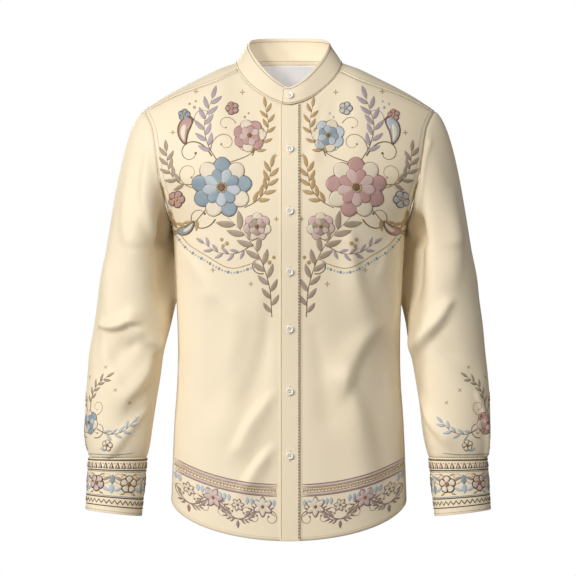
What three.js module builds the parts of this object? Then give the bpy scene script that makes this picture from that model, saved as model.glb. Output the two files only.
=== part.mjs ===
import * as THREE from "three";

// A long-sleeved shirt with a stand collar, buttoned up and filled out as if it were worn.
// Millimetres. +Z is up, the front faces -Y and the wearer's left is at +X.
// The origin is the middle of the neck's base, level with the points where the shoulders meet
// the collar. Every wall is an open hollow shell: the outer face is the garment's form, and the
// inner face lies one wall thickness inside it.

const CLOTH = 1.4; // wall of a single panel
const DOUBLE = 2.2; // collar, cuffs and plackets, which are sewn of two layers
const LINING = 1; // wall of the inner yoke
const SEAM = 0.3; // between two pieces that are sewn to each other
const PROUD = 0.4; // how far the collar and cuffs stand outside the cloth they are sewn to

const ARMPIT = -262; // height of the underarm point
const SECTION = 2.3; // roundness of the body's level sections, where 2 is an ellipse
const BACK_ROUND = 2.6; // roundness of the back as it turns over the shoulder
const NECK = { half: 84.5, front: 68, round: 1.55, rise: 2.5 };
const BACK_SEAM = -95; // height of the seam between the yoke and the back
const HEM = { side: -688, drop: 69, half: 190.5, round: 1.93 };
// stiff is how far from its middle the folds begin, and short how far its top is drawn down, as a
// share of the last row.
const PLACKET = { from: -14.4, to: 17, middle: 1.5, stiff: 22, short: 0.13 };
const FRONT_EDGE = { right: -8.4, left: 9 }; // how far each front starts from the middle
const PLACKET_EDGE = { right: 15, left: 17.6 }; // and the column just outside the placket
const STRAIGHT = 80; // columns of the body nearer its middle than this run straight down
// Where the yoke's neck columns start on the back seam, as shares of it. They come to the neck from
// outside it, so that the yoke doesn't fold over itself.
const YOKE_FAN = { back: 0.5, side: 0.6 };

// The body's level sections. Above the underarm the half width is the form's, which the
// armhole cuts at edgeFront and edgeBack.
const BODY = [
  { z: -775, half: 191, front: 118, back: 112, edgeFront: 191, edgeBack: 191 },
  { z: -690, half: 188.5, front: 118, back: 112, edgeFront: 188.5, edgeBack: 188.5 },
  { z: -576, half: 184, front: 116, back: 108, edgeFront: 184, edgeBack: 184 },
  { z: -500, half: 179, front: 115, back: 104, edgeFront: 179, edgeBack: 179 },
  { z: -430, half: 178.5, front: 117, back: 103, edgeFront: 178.5, edgeBack: 178.5 },
  { z: -371, half: 181, front: 121, back: 106, edgeFront: 181, edgeBack: 181 },
  { z: -300, half: 184.5, front: 126, back: 111, edgeFront: 184.5, edgeBack: 184.5 },
  { z: -262, half: 187, front: 128, back: 113, edgeFront: 187, edgeBack: 187 },
  { z: -248, half: 192.8, front: 128, back: 114, edgeFront: 190.6, edgeBack: 190.8 },
  { z: -235, half: 199.5, front: 128, back: 115, edgeFront: 194, edgeBack: 195 },
  { z: -205, half: 217, front: 128, back: 117, edgeFront: 200, edgeBack: 204 },
  { z: -182, half: 235, front: 128, back: 118, edgeFront: 206.5, edgeBack: 209.5 },
  { z: -149, half: 245, front: 127, back: 118, edgeFront: 212, edgeBack: 214 },
  { z: -106, half: 248, front: 125, back: 116, edgeFront: 219, edgeBack: 221 },
  { z: -90, half: 250, front: 123, back: 115, edgeFront: 225, edgeBack: 226 },
  { z: -74, half: 252, front: 122, back: 114, edgeFront: 232.5, edgeBack: 232.5 },
  { z: 10, half: 252, front: 122, back: 112, edgeFront: 232.5, edgeBack: 232.5 },
];

// The shoulder's crest, how far the yoke's front seam lies below it, and the roundness of the
// chest as it turns over the shoulder.
const SHOULDER = [
  { x: 0, z: 20, drop: 15, round: 1.7 },
  { x: 40, z: 17, drop: 15, round: 1.7 },
  { x: 70, z: 8.5, drop: 15, round: 1.75 },
  { x: 85, z: 1.5, drop: 16, round: 1.85 },
  { x: 111, z: -8, drop: 19, round: 2.05 },
  { x: 143, z: -23.4, drop: 15, round: 2.1 },
  { x: 175, z: -39.6, drop: 10, round: 2.1 },
  { x: 204, z: -56, drop: 7, round: 2.1 },
  { x: 231, z: -74, drop: 4, round: 2.1 },
  { x: 255, z: -93, drop: 4, round: 2.1 },
];

// The sleeves' level rings, from the wrist up to the underarm. middleRight and middleLeft are the
// distances of the rings' middles from the centre line on the wearer's right and left.
const SLEEVE = [
  { z: -628, middleRight: 272.4, middleLeft: 268.8, half: 46.2, deep: 38, y: -26.5 },
  { z: -610, middleRight: 272.4, middleLeft: 268, half: 50.5, deep: 43, y: -25 },
  { z: -586, middleRight: 272.4, middleLeft: 267, half: 54, deep: 47, y: -22 },
  { z: -538, middleRight: 268, middleLeft: 264, half: 56.6, deep: 51, y: -17 },
  { z: -500, middleRight: 263.6, middleLeft: 259.6, half: 58.4, deep: 54, y: -12 },
  { z: -458, middleRight: 259.2, middleLeft: 254, half: 59.6, deep: 56, y: -7 },
  { z: -416, middleRight: 250.5, middleLeft: 249, half: 60.8, deep: 58, y: -4 },
  { z: -378, middleRight: 246.6, middleLeft: 245.2, half: 59.5, deep: 61, y: -2 },
  { z: -340, middleRight: 244.8, middleLeft: 244, half: 56.5, deep: 64, y: -1 },
  { z: -300, middleRight: 242, middleLeft: 241.5, half: 51, deep: 66, y: 0 },
];
const WRIST = SLEEVE[0];
const UNDERARM = SLEEVE.at(-1);
const CUFF = {
  top: -628.6,
  bottom: -716,
  slope: 5.2, // the lower edge's outer end is this much above its middle
  shift: { right: 6.4, left: 7.4 }, // how far the lower edge stands further out
  narrow: 2.2, // how much less half its width is at the lower edge
  forward: 7.5,
  opening: 134, // the angle of the sleeve's opening, where the ends of the cuff overlap
  lapAngle: 17,
  lap: 3, // how far the outer end stands out, from the angle lapFrom on, over lapOver degrees
  lapFrom: 434,
  lapOver: 52,
  columns: 26,
  rows: 3,
};
const SLEEVE_PLACKET = { rows: 6, from: 0.25, to: 0.7, gap: 0.6, wall: 1.6, point: 0.6, short: 0.08 };

// The direction in which the sleeve leaves the armhole, as shares of the way to the first ring.
const CAP = [
  { angle: -180, out: 0.36, ahead: 0.12, down: 0.9 },
  { angle: -90, out: 0.5, ahead: 0, down: 0.86 },
  { angle: 0, out: 0.36, ahead: -0.12, down: 0.9 },
  { angle: 90, out: 0.39, ahead: 0, down: 0.21 },
  { angle: 180, out: 0.36, ahead: 0.12, down: 0.9 },
  { angle: 270, out: 0.5, ahead: 0, down: 0.86 },
];
const ARM_SLANT = 0.17; // how far the sleeve moves out for each millimetre down
const CAP_START = 0.9; // how far the sleeve's first points stand off the armhole
const CAP_SPACING = 1.15; // above 1 the rows of the sleeve's head are closer near the armhole

// Soft folds: from one point to another, bowed sideways in the middle, as wide and as deep as
// given. Deep is outwards. On the body x and z are millimetres; on a sleeve x is the angle
// round it from the front, towards the outside, where a degree is about a millimetre.
const FOLD_DEPTH = 120; // a fold moves the body by a share of its depth, in full where it is this
const FRONT_FOLDS = [
  { x: 104, z: -285, toX: 139, toZ: -425, bow: -7, wide: 16, deep: 3.4 },
  { x: 92, z: -505, toX: 126, toZ: -650, bow: 6, wide: 17, deep: 3 },
  { x: 158, z: -500, toX: 176, toZ: -560, bow: 0, wide: 10, deep: 2 },
  { x: 150, z: -268, toX: 186, toZ: -340, bow: 8, wide: 12, deep: -2.6 },
  { x: -22, z: -520, toX: -70, toZ: -665, bow: -8, wide: 15, deep: 2.8 },
  { x: -60, z: -430, toX: -120, toZ: -540, bow: 8, wide: 20, deep: -2 },
  { x: -162, z: -440, toX: -176, toZ: -560, bow: 4, wide: 11, deep: 2.2 },
  { x: -150, z: -262, toX: -184, toZ: -330, bow: -8, wide: 12, deep: -2.6 },
];
const BACK_FOLDS = [
  { x: -60, z: -150, toX: -84, toZ: -330, bow: 8, wide: 18, deep: 3 },
  { x: 58, z: -140, toX: 90, toZ: -350, bow: -6, wide: 17, deep: 3.2 },
  { x: -160, z: -250, toX: -120, toZ: -420, bow: 10, wide: 15, deep: 2.8 },
  { x: 164, z: -260, toX: 128, toZ: -400, bow: -10, wide: 14, deep: 2.6 },
  { x: -40, z: -480, toX: -70, toZ: -660, bow: 6, wide: 20, deep: 2.8 },
  { x: 60, z: -470, toX: 44, toZ: -640, bow: -6, wide: 18, deep: 2.6 },
];
const SLEEVE_FOLDS = {
  right: [
    { x: 44, z: -420, toX: 4, toZ: -414, bow: 6, wide: 9, deep: 4.2 },
    { x: 4, z: -414, toX: -60, toZ: -458, bow: 5, wide: 10, deep: 4 },
    { x: -60, z: -458, toX: -18, toZ: -520, bow: -7, wide: 11, deep: 3.4 },
    { x: 42, z: -424, toX: 12, toZ: -490, bow: 4, wide: 12, deep: 2.6 },
    { x: 30, z: -150, toX: -26, toZ: -280, bow: 8, wide: 13, deep: 2.6 },
    { x: 150, z: -400, toX: 230, toZ: -440, bow: 6, wide: 12, deep: 3.4 },
    { x: 140, z: -470, toX: 205, toZ: -520, bow: -6, wide: 13, deep: 3 },
    { x: -40, z: -560, toX: 10, toZ: -620, bow: 0, wide: 10, deep: 2.4 },
  ],
  left: [
    { x: 2, z: -386, toX: -60, toZ: -452, bow: 6, wide: 11, deep: 4 },
    { x: -66, z: -540, toX: -28, toZ: -592, bow: -4, wide: 10, deep: 3 },
    { x: 40, z: -530, toX: 70, toZ: -622, bow: 3, wide: 7, deep: 2.8 },
    { x: 34, z: -130, toX: -34, toZ: -230, bow: -8, wide: 13, deep: 3.4 },
    { x: 150, z: -390, toX: 235, toZ: -430, bow: 6, wide: 12, deep: 3.4 },
    { x: 145, z: -455, toX: 200, toZ: -510, bow: -6, wide: 13, deep: 3 },
    { x: 120, z: -560, toX: 150, toZ: -622, bow: 0, wide: 10, deep: 2.4 },
  ],
};

// How finely each piece is divided.
const STEPS = { neck: 4, neckSide: 2, seam: 7, lower: 17, upper: 8, yoke: 6, cap: 7, arm: 17 };

const COLLAR = {
  above: 1.2, // how far its lower edge is above the neckline
  half: 63.5, // of the upper edge
  front: -68,
  back: 44,
  low: -40, // heights of the upper edge at the front, the sides and the back
  side: 30,
  high: 43,
  frontRound: 1.35,
  backRound: 4,
  underEnd: 14, // where the inner end of the strip lies, and the outer end
  overEnd: -12.4,
  lap: 3, // how far the outer end stands out over the inner one
  lapFrom: 60, // and between which distances from the middle it moves out
  lapTo: 18,
};
const BUTTON = { radius: 5.6, thick: 2.2, hole: 0.9, holeAt: 1.5, sides: 16, gap: 0.35 };
const FRONT_BUTTONS = [-53.8, -139.5, -237.5, -333.3, -423.2, -521.4, -622.6]; // heights
const CUFF_BUTTONS = [0.28, 0.72]; // shares of the way down the cuff

const COLOURS = {
  sateen: 0xefe0bd,
  lining: 0xe9e8ec,
  shell: 0xf2efe6,
};

const shirt = new THREE.Group();

const clamp = (value, low, high) => Math.min(Math.max(value, low), high);
const mix = (a, b, t) => a + (b - a) * t;
const point = (x, y, z) => new THREE.Vector3(x, y, z);

// A smooth curve through one column of a table whose rows rise in the column named key.
function along(table, key, at, column) {
  const last = table.length - 1;
  let i = 0;
  while (i < last - 1 && at > table[i + 1][key]) i += 1;
  const slope = (k) => {
    const a = table[Math.max(k - 1, 0)];
    const b = table[Math.min(k + 1, last)];
    return (b[column] - a[column]) / (b[key] - a[key]);
  };
  const step = table[i + 1][key] - table[i][key];
  const t = clamp((at - table[i][key]) / step, 0, 1);
  const s = 1 - t;
  const ends = table[i][column] * s * s * (1 + 2 * t) + table[i + 1][column] * t * t * (1 + 2 * s);
  return ends + step * s * t * (slope(i) * s - slope(i + 1) * t);
}

const superellipse = (share, round) => Math.pow(Math.max(0, 1 - Math.pow(share, round)), 1 / round);

// How far the folds of a table push the cloth out at a point.
function folds(table, x, z) {
  let push = 0;
  for (const fold of table) {
    const dx = fold.toX - fold.x;
    const dz = fold.toZ - fold.z;
    const length = Math.hypot(dx, dz);
    const t = ((x - fold.x) * dx + (z - fold.z) * dz) / (length * length);
    const side = ((z - fold.z) * dx - (x - fold.x) * dz) / length;
    const away = side - fold.bow * 4 * clamp(t, 0, 1) * (1 - clamp(t, 0, 1));
    const past = Math.max(0, -t, t - 1) * length;
    const spread = (away * away + past * past) / (fold.wide * fold.wide);
    push += fold.deep * Math.exp(-spread);
  }
  return push;
}

// The body's form. side is -1 in front and 1 behind.
const crest = (x) => along(SHOULDER, "x", Math.abs(x), "z");
const turnRound = (side, x) => (side < 0 ? along(SHOULDER, "x", Math.abs(x), "round") : BACK_ROUND);
const armholeEdge = (side, z) => along(BODY, "z", z, side < 0 ? "edgeFront" : "edgeBack");

function sectionDepth(side, x, z) {
  const across = superellipse(clamp(Math.abs(x) / along(BODY, "z", z, "half"), 0, 1), SECTION);
  return side * along(BODY, "z", z, side < 0 ? "front" : "back") * across;
}

function bodyPoint(side, x, z) {
  const rise = clamp((z - ARMPIT) / (crest(x) - ARMPIT), 0, 1);
  const loose = side > 0 ? 1 : clamp(Math.abs(x - PLACKET.middle) / PLACKET.stiff - 0.7, 0, 1);
  const push = 1 + (loose * folds(side < 0 ? FRONT_FOLDS : BACK_FOLDS, x, z)) / FOLD_DEPTH;
  const y = sectionDepth(side, x, z) * superellipse(rise, turnRound(side, x)) * push;
  return point(x, y, z);
}

// A point of the yoke. turn runs from below 0 in front, through 0 on the crest, to the back.
function shoulderPoint(x, turn) {
  const side = turn < 0 ? -1 : 1;
  const round = 2 / turnRound(side, x);
  const z = ARMPIT + (crest(x) - ARMPIT) * Math.pow(Math.cos(turn), round);
  const y = sectionDepth(side, x, z) * Math.pow(Math.abs(Math.sin(turn)), round);
  return point(x, y, z);
}

function turnAt(side, x, z) {
  const rise = clamp((z - ARMPIT) / (crest(x) - ARMPIT), 0, 1);
  return side * Math.acos(Math.pow(rise, turnRound(side, x) / 2));
}

const neckFront = (x) => -NECK.front * superellipse(clamp(Math.abs(x) / NECK.half, 0, 1), NECK.round);
const neckBack = (x) => crest(NECK.half) + NECK.rise * (1 - (x / NECK.half) ** 2);
const frontSeam = (x) => crest(x) - along(SHOULDER, "x", Math.abs(x), "drop");

// Where the front's neckline meets the yoke's front seam.
function neckCorner() {
  let x = NECK.half;
  for (let i = 0; i < 40; i += 1) x += neckFront(x) > frontSeam(x) ? -0.2 : 0;
  return x;
}
const CORNER = neckCorner();

// The outer end of a seam that climbs to the armhole at the height that seamAt gives.
function seamEnd(side, seamAt) {
  let x = 225;
  for (let i = 0; i < 30; i += 1) x = armholeEdge(side, seamAt(x));
  return x;
}
const FRONT_END = seamEnd(-1, frontSeam);
const BACK_END = seamEnd(1, () => BACK_SEAM);

const hemAt = (x) => HEM.side - HEM.drop * superellipse(clamp(Math.abs(x) / HEM.half, 0, 1), HEM.round);

// The ends of a front's columns along the neckline and then along the yoke's seam.
function frontTops(hand) {
  const tops = [{ x: FRONT_EDGE[hand], z: neckFront(FRONT_EDGE[hand]) }];
  for (let i = 0; i < STEPS.neck - 1; i += 1) {
    const x = mix(PLACKET_EDGE[hand], CORNER, Math.sin((i / (STEPS.neck - 1)) * Math.PI * 0.5));
    tops.push({ x, z: neckFront(x) });
  }
  for (let i = 0; i <= STEPS.seam; i += 1) {
    const x = mix(CORNER, FRONT_END, i / STEPS.seam);
    tops.push({ x, z: frontSeam(x) });
  }
  return tops;
}

// The ends of the yoke's columns, from the middle of the back neckline round to the tip of the
// front seam, with the place of each on the back seam.
function yokeColumns() {
  const columns = [];
  for (let i = 0; i < STEPS.neck; i += 1) {
    const x = NECK.half * Math.sin((i / STEPS.neck) * Math.PI * 0.5);
    columns.push({ x, turn: turnAt(1, x, neckBack(x)), low: YOKE_FAN.back * (i / STEPS.neck) });
  }
  for (let i = 0; i < STEPS.neckSide; i += 1) {
    const z = mix(crest(NECK.half), frontSeam(CORNER), i / STEPS.neckSide);
    const x = mix(NECK.half, CORNER, (i / STEPS.neckSide) ** 2);
    const low = mix(YOKE_FAN.back, YOKE_FAN.side, i / STEPS.neckSide);
    columns.push({ x, turn: turnAt(-1, x, z), low });
  }
  for (let i = 0; i <= STEPS.seam; i += 1) {
    const x = mix(CORNER, FRONT_END, i / STEPS.seam);
    const low = mix(YOKE_FAN.side, 1, i / STEPS.seam);
    columns.push({ x, turn: turnAt(-1, x, frontSeam(x) + SEAM / 2), low });
  }
  return columns;
}
const YOKE_COLUMNS = yokeColumns();

// One grid of points, column by column from the bottom up, for a front or back panel whose
// columns end at the given tops. hand is 1 on the wearer's left and -1 on the right. Columns
// near the middle run straight down, and those near the side follow the armhole and the side.
function panel(side, tops, hand) {
  return tops.map((top) => {
    const follow = Math.min(1, Math.abs(top.x) / STRAIGHT);
    const xAt = (z) => top.x * (armholeEdge(side, z) / armholeEdge(side, top.z)) ** follow;
    const atSide = Math.abs(xAt(ARMPIT) - armholeEdge(side, ARMPIT)) < 0.01;
    const low = hemAt(xAt(HEM.side));
    const column = [];
    for (let j = 0; j <= STEPS.lower; j += 1) {
      const z = mix(low, ARMPIT, j / STEPS.lower);
      const p = bodyPoint(side, hand * xAt(z), z);
      if (atSide) p.y = (side * SEAM) / 2;
      column.push(p);
    }
    for (let j = 1; j <= STEPS.upper; j += 1) {
      const z = mix(ARMPIT, top.z, j / STEPS.upper);
      column.push(bodyPoint(side, hand * xAt(z), z));
    }
    return column;
  });
}

// The yoke's grid for one half, from the back seam to the neckline or the front seam.
function yokeHalf() {
  return YOKE_COLUMNS.map((end, i) => {
    const lowX = end.low * BACK_END;
    const lowTurn = turnAt(1, lowX, BACK_SEAM + SEAM / 2);
    const column = [];
    for (let j = 0; j <= STEPS.yoke; j += 1) {
      const t = j / STEPS.yoke;
      const turn = mix(lowTurn, end.turn, t);
      let x = mix(lowX, end.x, t);
      for (let k = 0; k < 12 && i === YOKE_COLUMNS.length - 1; k += 1) {
        x = armholeEdge(turn < 0 ? -1 : 1, shoulderPoint(x, turn).z);
      }
      column.push(shoulderPoint(x, turn));
    }
    return column;
  });
}

const mirrored = (grid) => grid.map((column) => column.map((p) => point(-p.x, p.y, p.z)));
const joined = (right, left) => [...[...right].reverse(), ...left.slice(1)];

// The way that the body's form faces at a point on it.
function outward(p) {
  const side = p.y < 0 ? -1 : 1;
  if (p.z < ARMPIT + 1 && Math.abs(p.y) < SEAM) return point(Math.sign(p.x), 0, 0);
  const turn = turnAt(side, p.x, p.z);
  if (p.z < ARMPIT + 1) {
    const across = bodyPoint(side, p.x + 0.5, p.z).sub(bodyPoint(side, p.x - 0.5, p.z));
    const up = bodyPoint(side, p.x, p.z + 2).sub(bodyPoint(side, p.x, p.z - 2));
    return across.cross(up).normalize().multiplyScalar(-side);
  }
  const across = shoulderPoint(p.x + 0.5, turn).sub(shoulderPoint(p.x - 0.5, turn));
  const over = shoulderPoint(p.x, turn + 0.01).sub(shoulderPoint(p.x, turn - 0.01));
  return across.cross(over).normalize();
}
const bodyNormals = (grid) => grid.map((column) => column.map(outward));

// The normals of any other grid's outer face. A tube's columns wrap round.
function normals(grid, tube, outwards) {
  const count = grid.length;
  return grid.map((column, i) =>
    column.map((p, j) => {
      const before = grid[tube ? (i + count - 1) % count : Math.max(i - 1, 0)][j];
      const after = grid[tube ? (i + 1) % count : Math.min(i + 1, count - 1)][j];
      const below = column[Math.max(j - 1, 0)];
      const above = column[Math.min(j + 1, column.length - 1)];
      const across = after.clone().sub(before);
      return across.cross(above.clone().sub(below)).normalize().multiplyScalar(outwards);
    }),
  );
}

const moved = (grid, out, distance) =>
  grid.map((column, i) => column.map((p, j) => p.clone().addScaledVector(out[i][j], distance)));

// A closed wall between an outer and an inner grid.
function wall(outer, inner, tube) {
  const columns = outer.length;
  const rows = outer[0].length;
  const positions = [];
  for (const grid of [outer, inner]) {
    for (const p of grid.flat()) positions.push(p.x, p.y, p.z);
  }
  const at = (layer, i, j) => layer * columns * rows + (i % columns) * rows + j;
  const faces = [];
  const quad = (a, b, c, d) => faces.push(a, b, c, a, c, d);
  const last = tube ? columns : columns - 1;
  for (let i = 0; i < last; i += 1) {
    for (let j = 0; j < rows - 1; j += 1) {
      quad(at(0, i, j), at(0, i + 1, j), at(0, i + 1, j + 1), at(0, i, j + 1));
      quad(at(1, i, j), at(1, i, j + 1), at(1, i + 1, j + 1), at(1, i + 1, j));
    }
    quad(at(0, i, 0), at(1, i, 0), at(1, i + 1, 0), at(0, i + 1, 0));
    quad(at(0, i, rows - 1), at(0, i + 1, rows - 1), at(1, i + 1, rows - 1), at(1, i, rows - 1));
  }
  for (let j = 0; j < rows - 1 && !tube; j += 1) {
    quad(at(0, 0, j), at(0, 0, j + 1), at(1, 0, j + 1), at(1, 0, j));
    quad(at(0, last, j), at(1, last, j), at(1, last, j + 1), at(0, last, j + 1));
  }
  const geometry = new THREE.BufferGeometry();
  geometry.setAttribute("position", new THREE.Float32BufferAttribute(positions, 3));
  geometry.setIndex(faces);
  return facingOut(geometry);
}

// Turns a closed mesh so that its volume is positive.
function facingOut(geometry) {
  const p = geometry.getAttribute("position");
  const index = geometry.getIndex().array;
  const [a, b, c] = [point(0, 0, 0), point(0, 0, 0), point(0, 0, 0)];
  let volume = 0;
  for (let i = 0; i < index.length; i += 3) {
    a.fromBufferAttribute(p, index[i]);
    b.fromBufferAttribute(p, index[i + 1]);
    c.fromBufferAttribute(p, index[i + 2]);
    volume += a.dot(b.cross(c));
  }
  if (volume < 0) {
    for (let i = 0; i < index.length; i += 3) {
      const first = index[i];
      index[i] = index[i + 1];
      index[i + 1] = first;
    }
  }
  geometry.computeVertexNormals();
  return geometry;
}

function add(name, geometry, colour, roughness = 0.75) {
  const material = new THREE.MeshStandardMaterial({ color: colour, roughness, metalness: 0 });
  const mesh = new THREE.Mesh(geometry, material);
  mesh.name = name;
  shirt.add(mesh);
  return mesh;
}

// A single panel of the body from its outer grid.
function addPanel(name, grid) {
  add(name, wall(grid, moved(grid, bodyNormals(grid), -CLOTH), false), COLOURS.sateen);
}

const frontHalves = {
  left: panel(-1, frontTops("left"), 1),
  right: panel(-1, frontTops("right"), -1),
};
const backTops = YOKE_COLUMNS.map((column) => ({ x: column.low * BACK_END, z: BACK_SEAM - SEAM / 2 }));
const backHalves = { left: panel(1, backTops, 1), right: panel(1, backTops, -1) };
const yokeHalfGrid = yokeHalf();
const yokeGrid = joined(mirrored(yokeHalfGrid), yokeHalfGrid);

addPanel("front_left", frontHalves.left);
addPanel("front_right", frontHalves.right);
addPanel("back", joined(backHalves.right, backHalves.left));
addPanel("yoke", yokeGrid);

// The inner yoke lies just inside the outer one and ends a little short of its edges.
const lining = yokeGrid.slice(1, -1).map((column) => column.slice(1, -1));
const liningOuter = moved(lining, bodyNormals(lining), -CLOTH - SEAM);
const liningInner = moved(lining, bodyNormals(lining), -CLOTH - SEAM - LINING);
add("yoke_lining", wall(liningOuter, liningInner, false), COLOURS.lining);

// The placket lies on both fronts and is made from their points, moved out. Its top stops
// just below the collar.
function placket() {
  const columnAt = (front, x) => {
    const [first, next] = front;
    const column = first.map((a, j) => a.clone().lerp(next[j], (x - a.x) / (next[j].x - a.x)));
    column.at(-1).lerp(column.at(-2), PLACKET.short);
    return column;
  };
  const underside = [PLACKET.from, PLACKET.from / 2, PLACKET.middle, -FRONT_EDGE.right];
  const grid = underside.map((x) => columnAt(frontHalves.right, x));
  grid.push(columnAt(frontHalves.left, PLACKET.to));
  const out = bodyNormals(grid);
  add("placket", wall(moved(grid, out, SEAM + DOUBLE), moved(grid, out, SEAM), false), COLOURS.sateen);
  return moved(grid, out, SEAM + DOUBLE);
}
const placketFace = placket();

// The neckline from the inner end of the collar, round the wearer's right, the back and the
// left, to the outer end, with the collar's upper edge above it. lap grows from 0 to 1 where
// the outer end passes over the inner one.
function collarStations() {
  const neckline = (hand) => frontTops(hand).slice(0, STEPS.neck).map((top) => top.x);
  const corner = [];
  for (let i = 0; i <= STEPS.neckSide; i += 1) {
    corner.push(mix(CORNER, NECK.half, 1 - (1 - i / STEPS.neckSide) ** 2));
  }
  const right = [...neckline("right"), ...corner].map((x) => ({ x: -x, side: -1 }));
  const left = [...neckline("left"), ...corner].reverse().map((x) => ({ x, side: -1 }));
  const back = [];
  for (let i = 1; i < 2 * STEPS.neck; i += 1) {
    back.push({ x: -NECK.half * Math.cos((i / STEPS.neck) * Math.PI * 0.5), side: 1 });
  }
  const underEnd = { x: COLLAR.underEnd, side: -1 };
  const overEnd = { x: COLLAR.overEnd, side: -1 };
  return [underEnd, ...right, ...back, ...left, overEnd].map((station, i, all) => {
    const reach = (COLLAR.lapFrom - station.x) / (COLLAR.lapFrom - COLLAR.lapTo);
    const over = i > all.length / 2 ? clamp(reach, 0, 1) : 0;
    return { ...station, lap: over * over * (3 - 2 * over) * COLLAR.lap };
  });
}

function collar() {
  const rows = 3;
  const grid = collarStations().map((station) => {
    const { side, lap } = station;
    const share = clamp(Math.abs(station.x) / NECK.half, 0, 1);
    const base = bodyPoint(side, station.x, side < 0 ? neckFront(station.x) : neckBack(station.x));
    const round = side < 0 ? COLLAR.frontRound : COLLAR.backRound;
    const end = side < 0 ? COLLAR.low : COLLAR.high;
    const top = point(
      (station.x * COLLAR.half) / NECK.half,
      (side < 0 ? COLLAR.front : COLLAR.back) * superellipse(share, 2),
      mix(COLLAR.side, end, superellipse(share, round)),
    );
    const outwards = point(base.x, base.y, 0).normalize();
    base.addScaledVector(outwards, PROUD + lap);
    top.addScaledVector(outwards, lap);
    base.z += COLLAR.above;
    const column = [];
    for (let j = 0; j <= rows; j += 1) column.push(base.clone().lerp(top, j / rows));
    return column;
  });
  const out = normals(grid, false, -1);
  add("collar_band", wall(grid, moved(grid, out, -DOUBLE), false), COLOURS.sateen);
  return grid;
}
const collarFace = collar();

// The armhole's points on one side, which are the edges of the front, the yoke and the back.
function armhole() {
  const front = frontHalves.left.at(-1).slice(STEPS.lower);
  const over = [...yokeHalfGrid.at(-1)].reverse();
  const back = [...backHalves.left.at(-1)].reverse().slice(0, STEPS.upper);
  return [...front, ...over.slice(1), ...back.slice(1)];
}

// A point of a sleeve's level ring. The angle runs from the front, 0, to the outside, 90.
function sleevePoint(side, angle, z) {
  const row = (column) => along(SLEEVE, "z", z, column);
  const middle = side < 0 ? row("middleRight") : row("middleLeft");
  const push = folds(SLEEVE_FOLDS[side < 0 ? "right" : "left"], angle < -90 ? angle + 360 : angle, z);
  const turn = THREE.MathUtils.degToRad(angle);
  const x = middle + (row("half") + push) * Math.sin(turn);
  return point(x, row("y") - (row("deep") + push) * Math.cos(turn), z);
}

// The sleeve as it would hang on the wearer's left; the right one is mirrored afterwards.
function sleeve(side) {
  const loop = armhole();
  const lengths = loop.map((p, i) => (i === 0 ? 0 : p.distanceTo(loop[i - 1])));
  const reached = lengths.map((_, i) => lengths.slice(0, i + 1).reduce((sum, l) => sum + l, 0));
  const tip = reached[STEPS.upper + Math.round(STEPS.yoke / 2)];
  const total = reached.at(-1) + loop.at(-1).distanceTo(loop[0]);
  return loop.map((start, i) => {
    const far = reached[i];
    const angle = far < tip ? -90 + (180 * far) / tip : 90 + (180 * (far - tip)) / (total - tip);
    const end = sleevePoint(side, angle, UNDERARM.z);
    const chord = start.distanceTo(end);
    const cap = (column) => along(CAP, "angle", angle, column);
    const leave = point(cap("out"), cap("ahead"), -cap("down")).multiplyScalar(chord);
    const arrive = point(ARM_SLANT, 0, -1).multiplyScalar(chord);
    const first = start.clone().addScaledVector(leave, CAP_START / leave.length());
    const column = [];
    for (let j = 0; j < STEPS.cap; j += 1) {
      const t = (j / STEPS.cap) ** CAP_SPACING;
      const s = 1 - t;
      const p = first.clone().multiplyScalar(s * s * (1 + 2 * t));
      p.addScaledVector(leave, t * s * s);
      p.addScaledVector(end, t * t * (1 + 2 * s));
      p.addScaledVector(arrive, -t * t * s);
      column.push(p);
    }
    for (let j = 0; j <= STEPS.arm; j += 1) {
      column.push(sleevePoint(side, angle, mix(UNDERARM.z, WRIST.z, j / STEPS.arm)));
    }
    return column;
  });
}

// The strip beside the sleeve's opening is made from the sleeve's points, moved out, and its
// upper end is pointed.
function sleevePlacket(grid, out) {
  const turnsAt = (column) => {
    const p = column.at(-1);
    return Math.atan2(p.x - WRIST.middleLeft, WRIST.y - p.y);
  };
  const opening = THREE.MathUtils.degToRad(CUFF.opening);
  const first = grid.findIndex((column) => turnsAt(column) > opening) - 1;
  const strip = (points, share) => {
    const [a, b] = [points[first + Math.floor(share)], points[first + Math.floor(share) + 1]];
    return a.map((p, j) => p.clone().lerp(b[j], share % 1)).slice(-SLEEVE_PLACKET.rows);
  };
  const shares = [SLEEVE_PLACKET.from, 1, 1 + SLEEVE_PLACKET.to];
  const face = shares.map((share) => strip(grid, share));
  const facing = shares.map((share) => strip(out, share).map((n) => n.normalize()));
  for (const i of [0, 2]) face[i][0].lerp(face[i][1], SLEEVE_PLACKET.point);
  for (const column of face) column.at(-1).lerp(column.at(-2), SLEEVE_PLACKET.short);
  const { gap } = SLEEVE_PLACKET;
  return wall(moved(face, facing, gap + SLEEVE_PLACKET.wall), moved(face, facing, gap), false);
}

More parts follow.
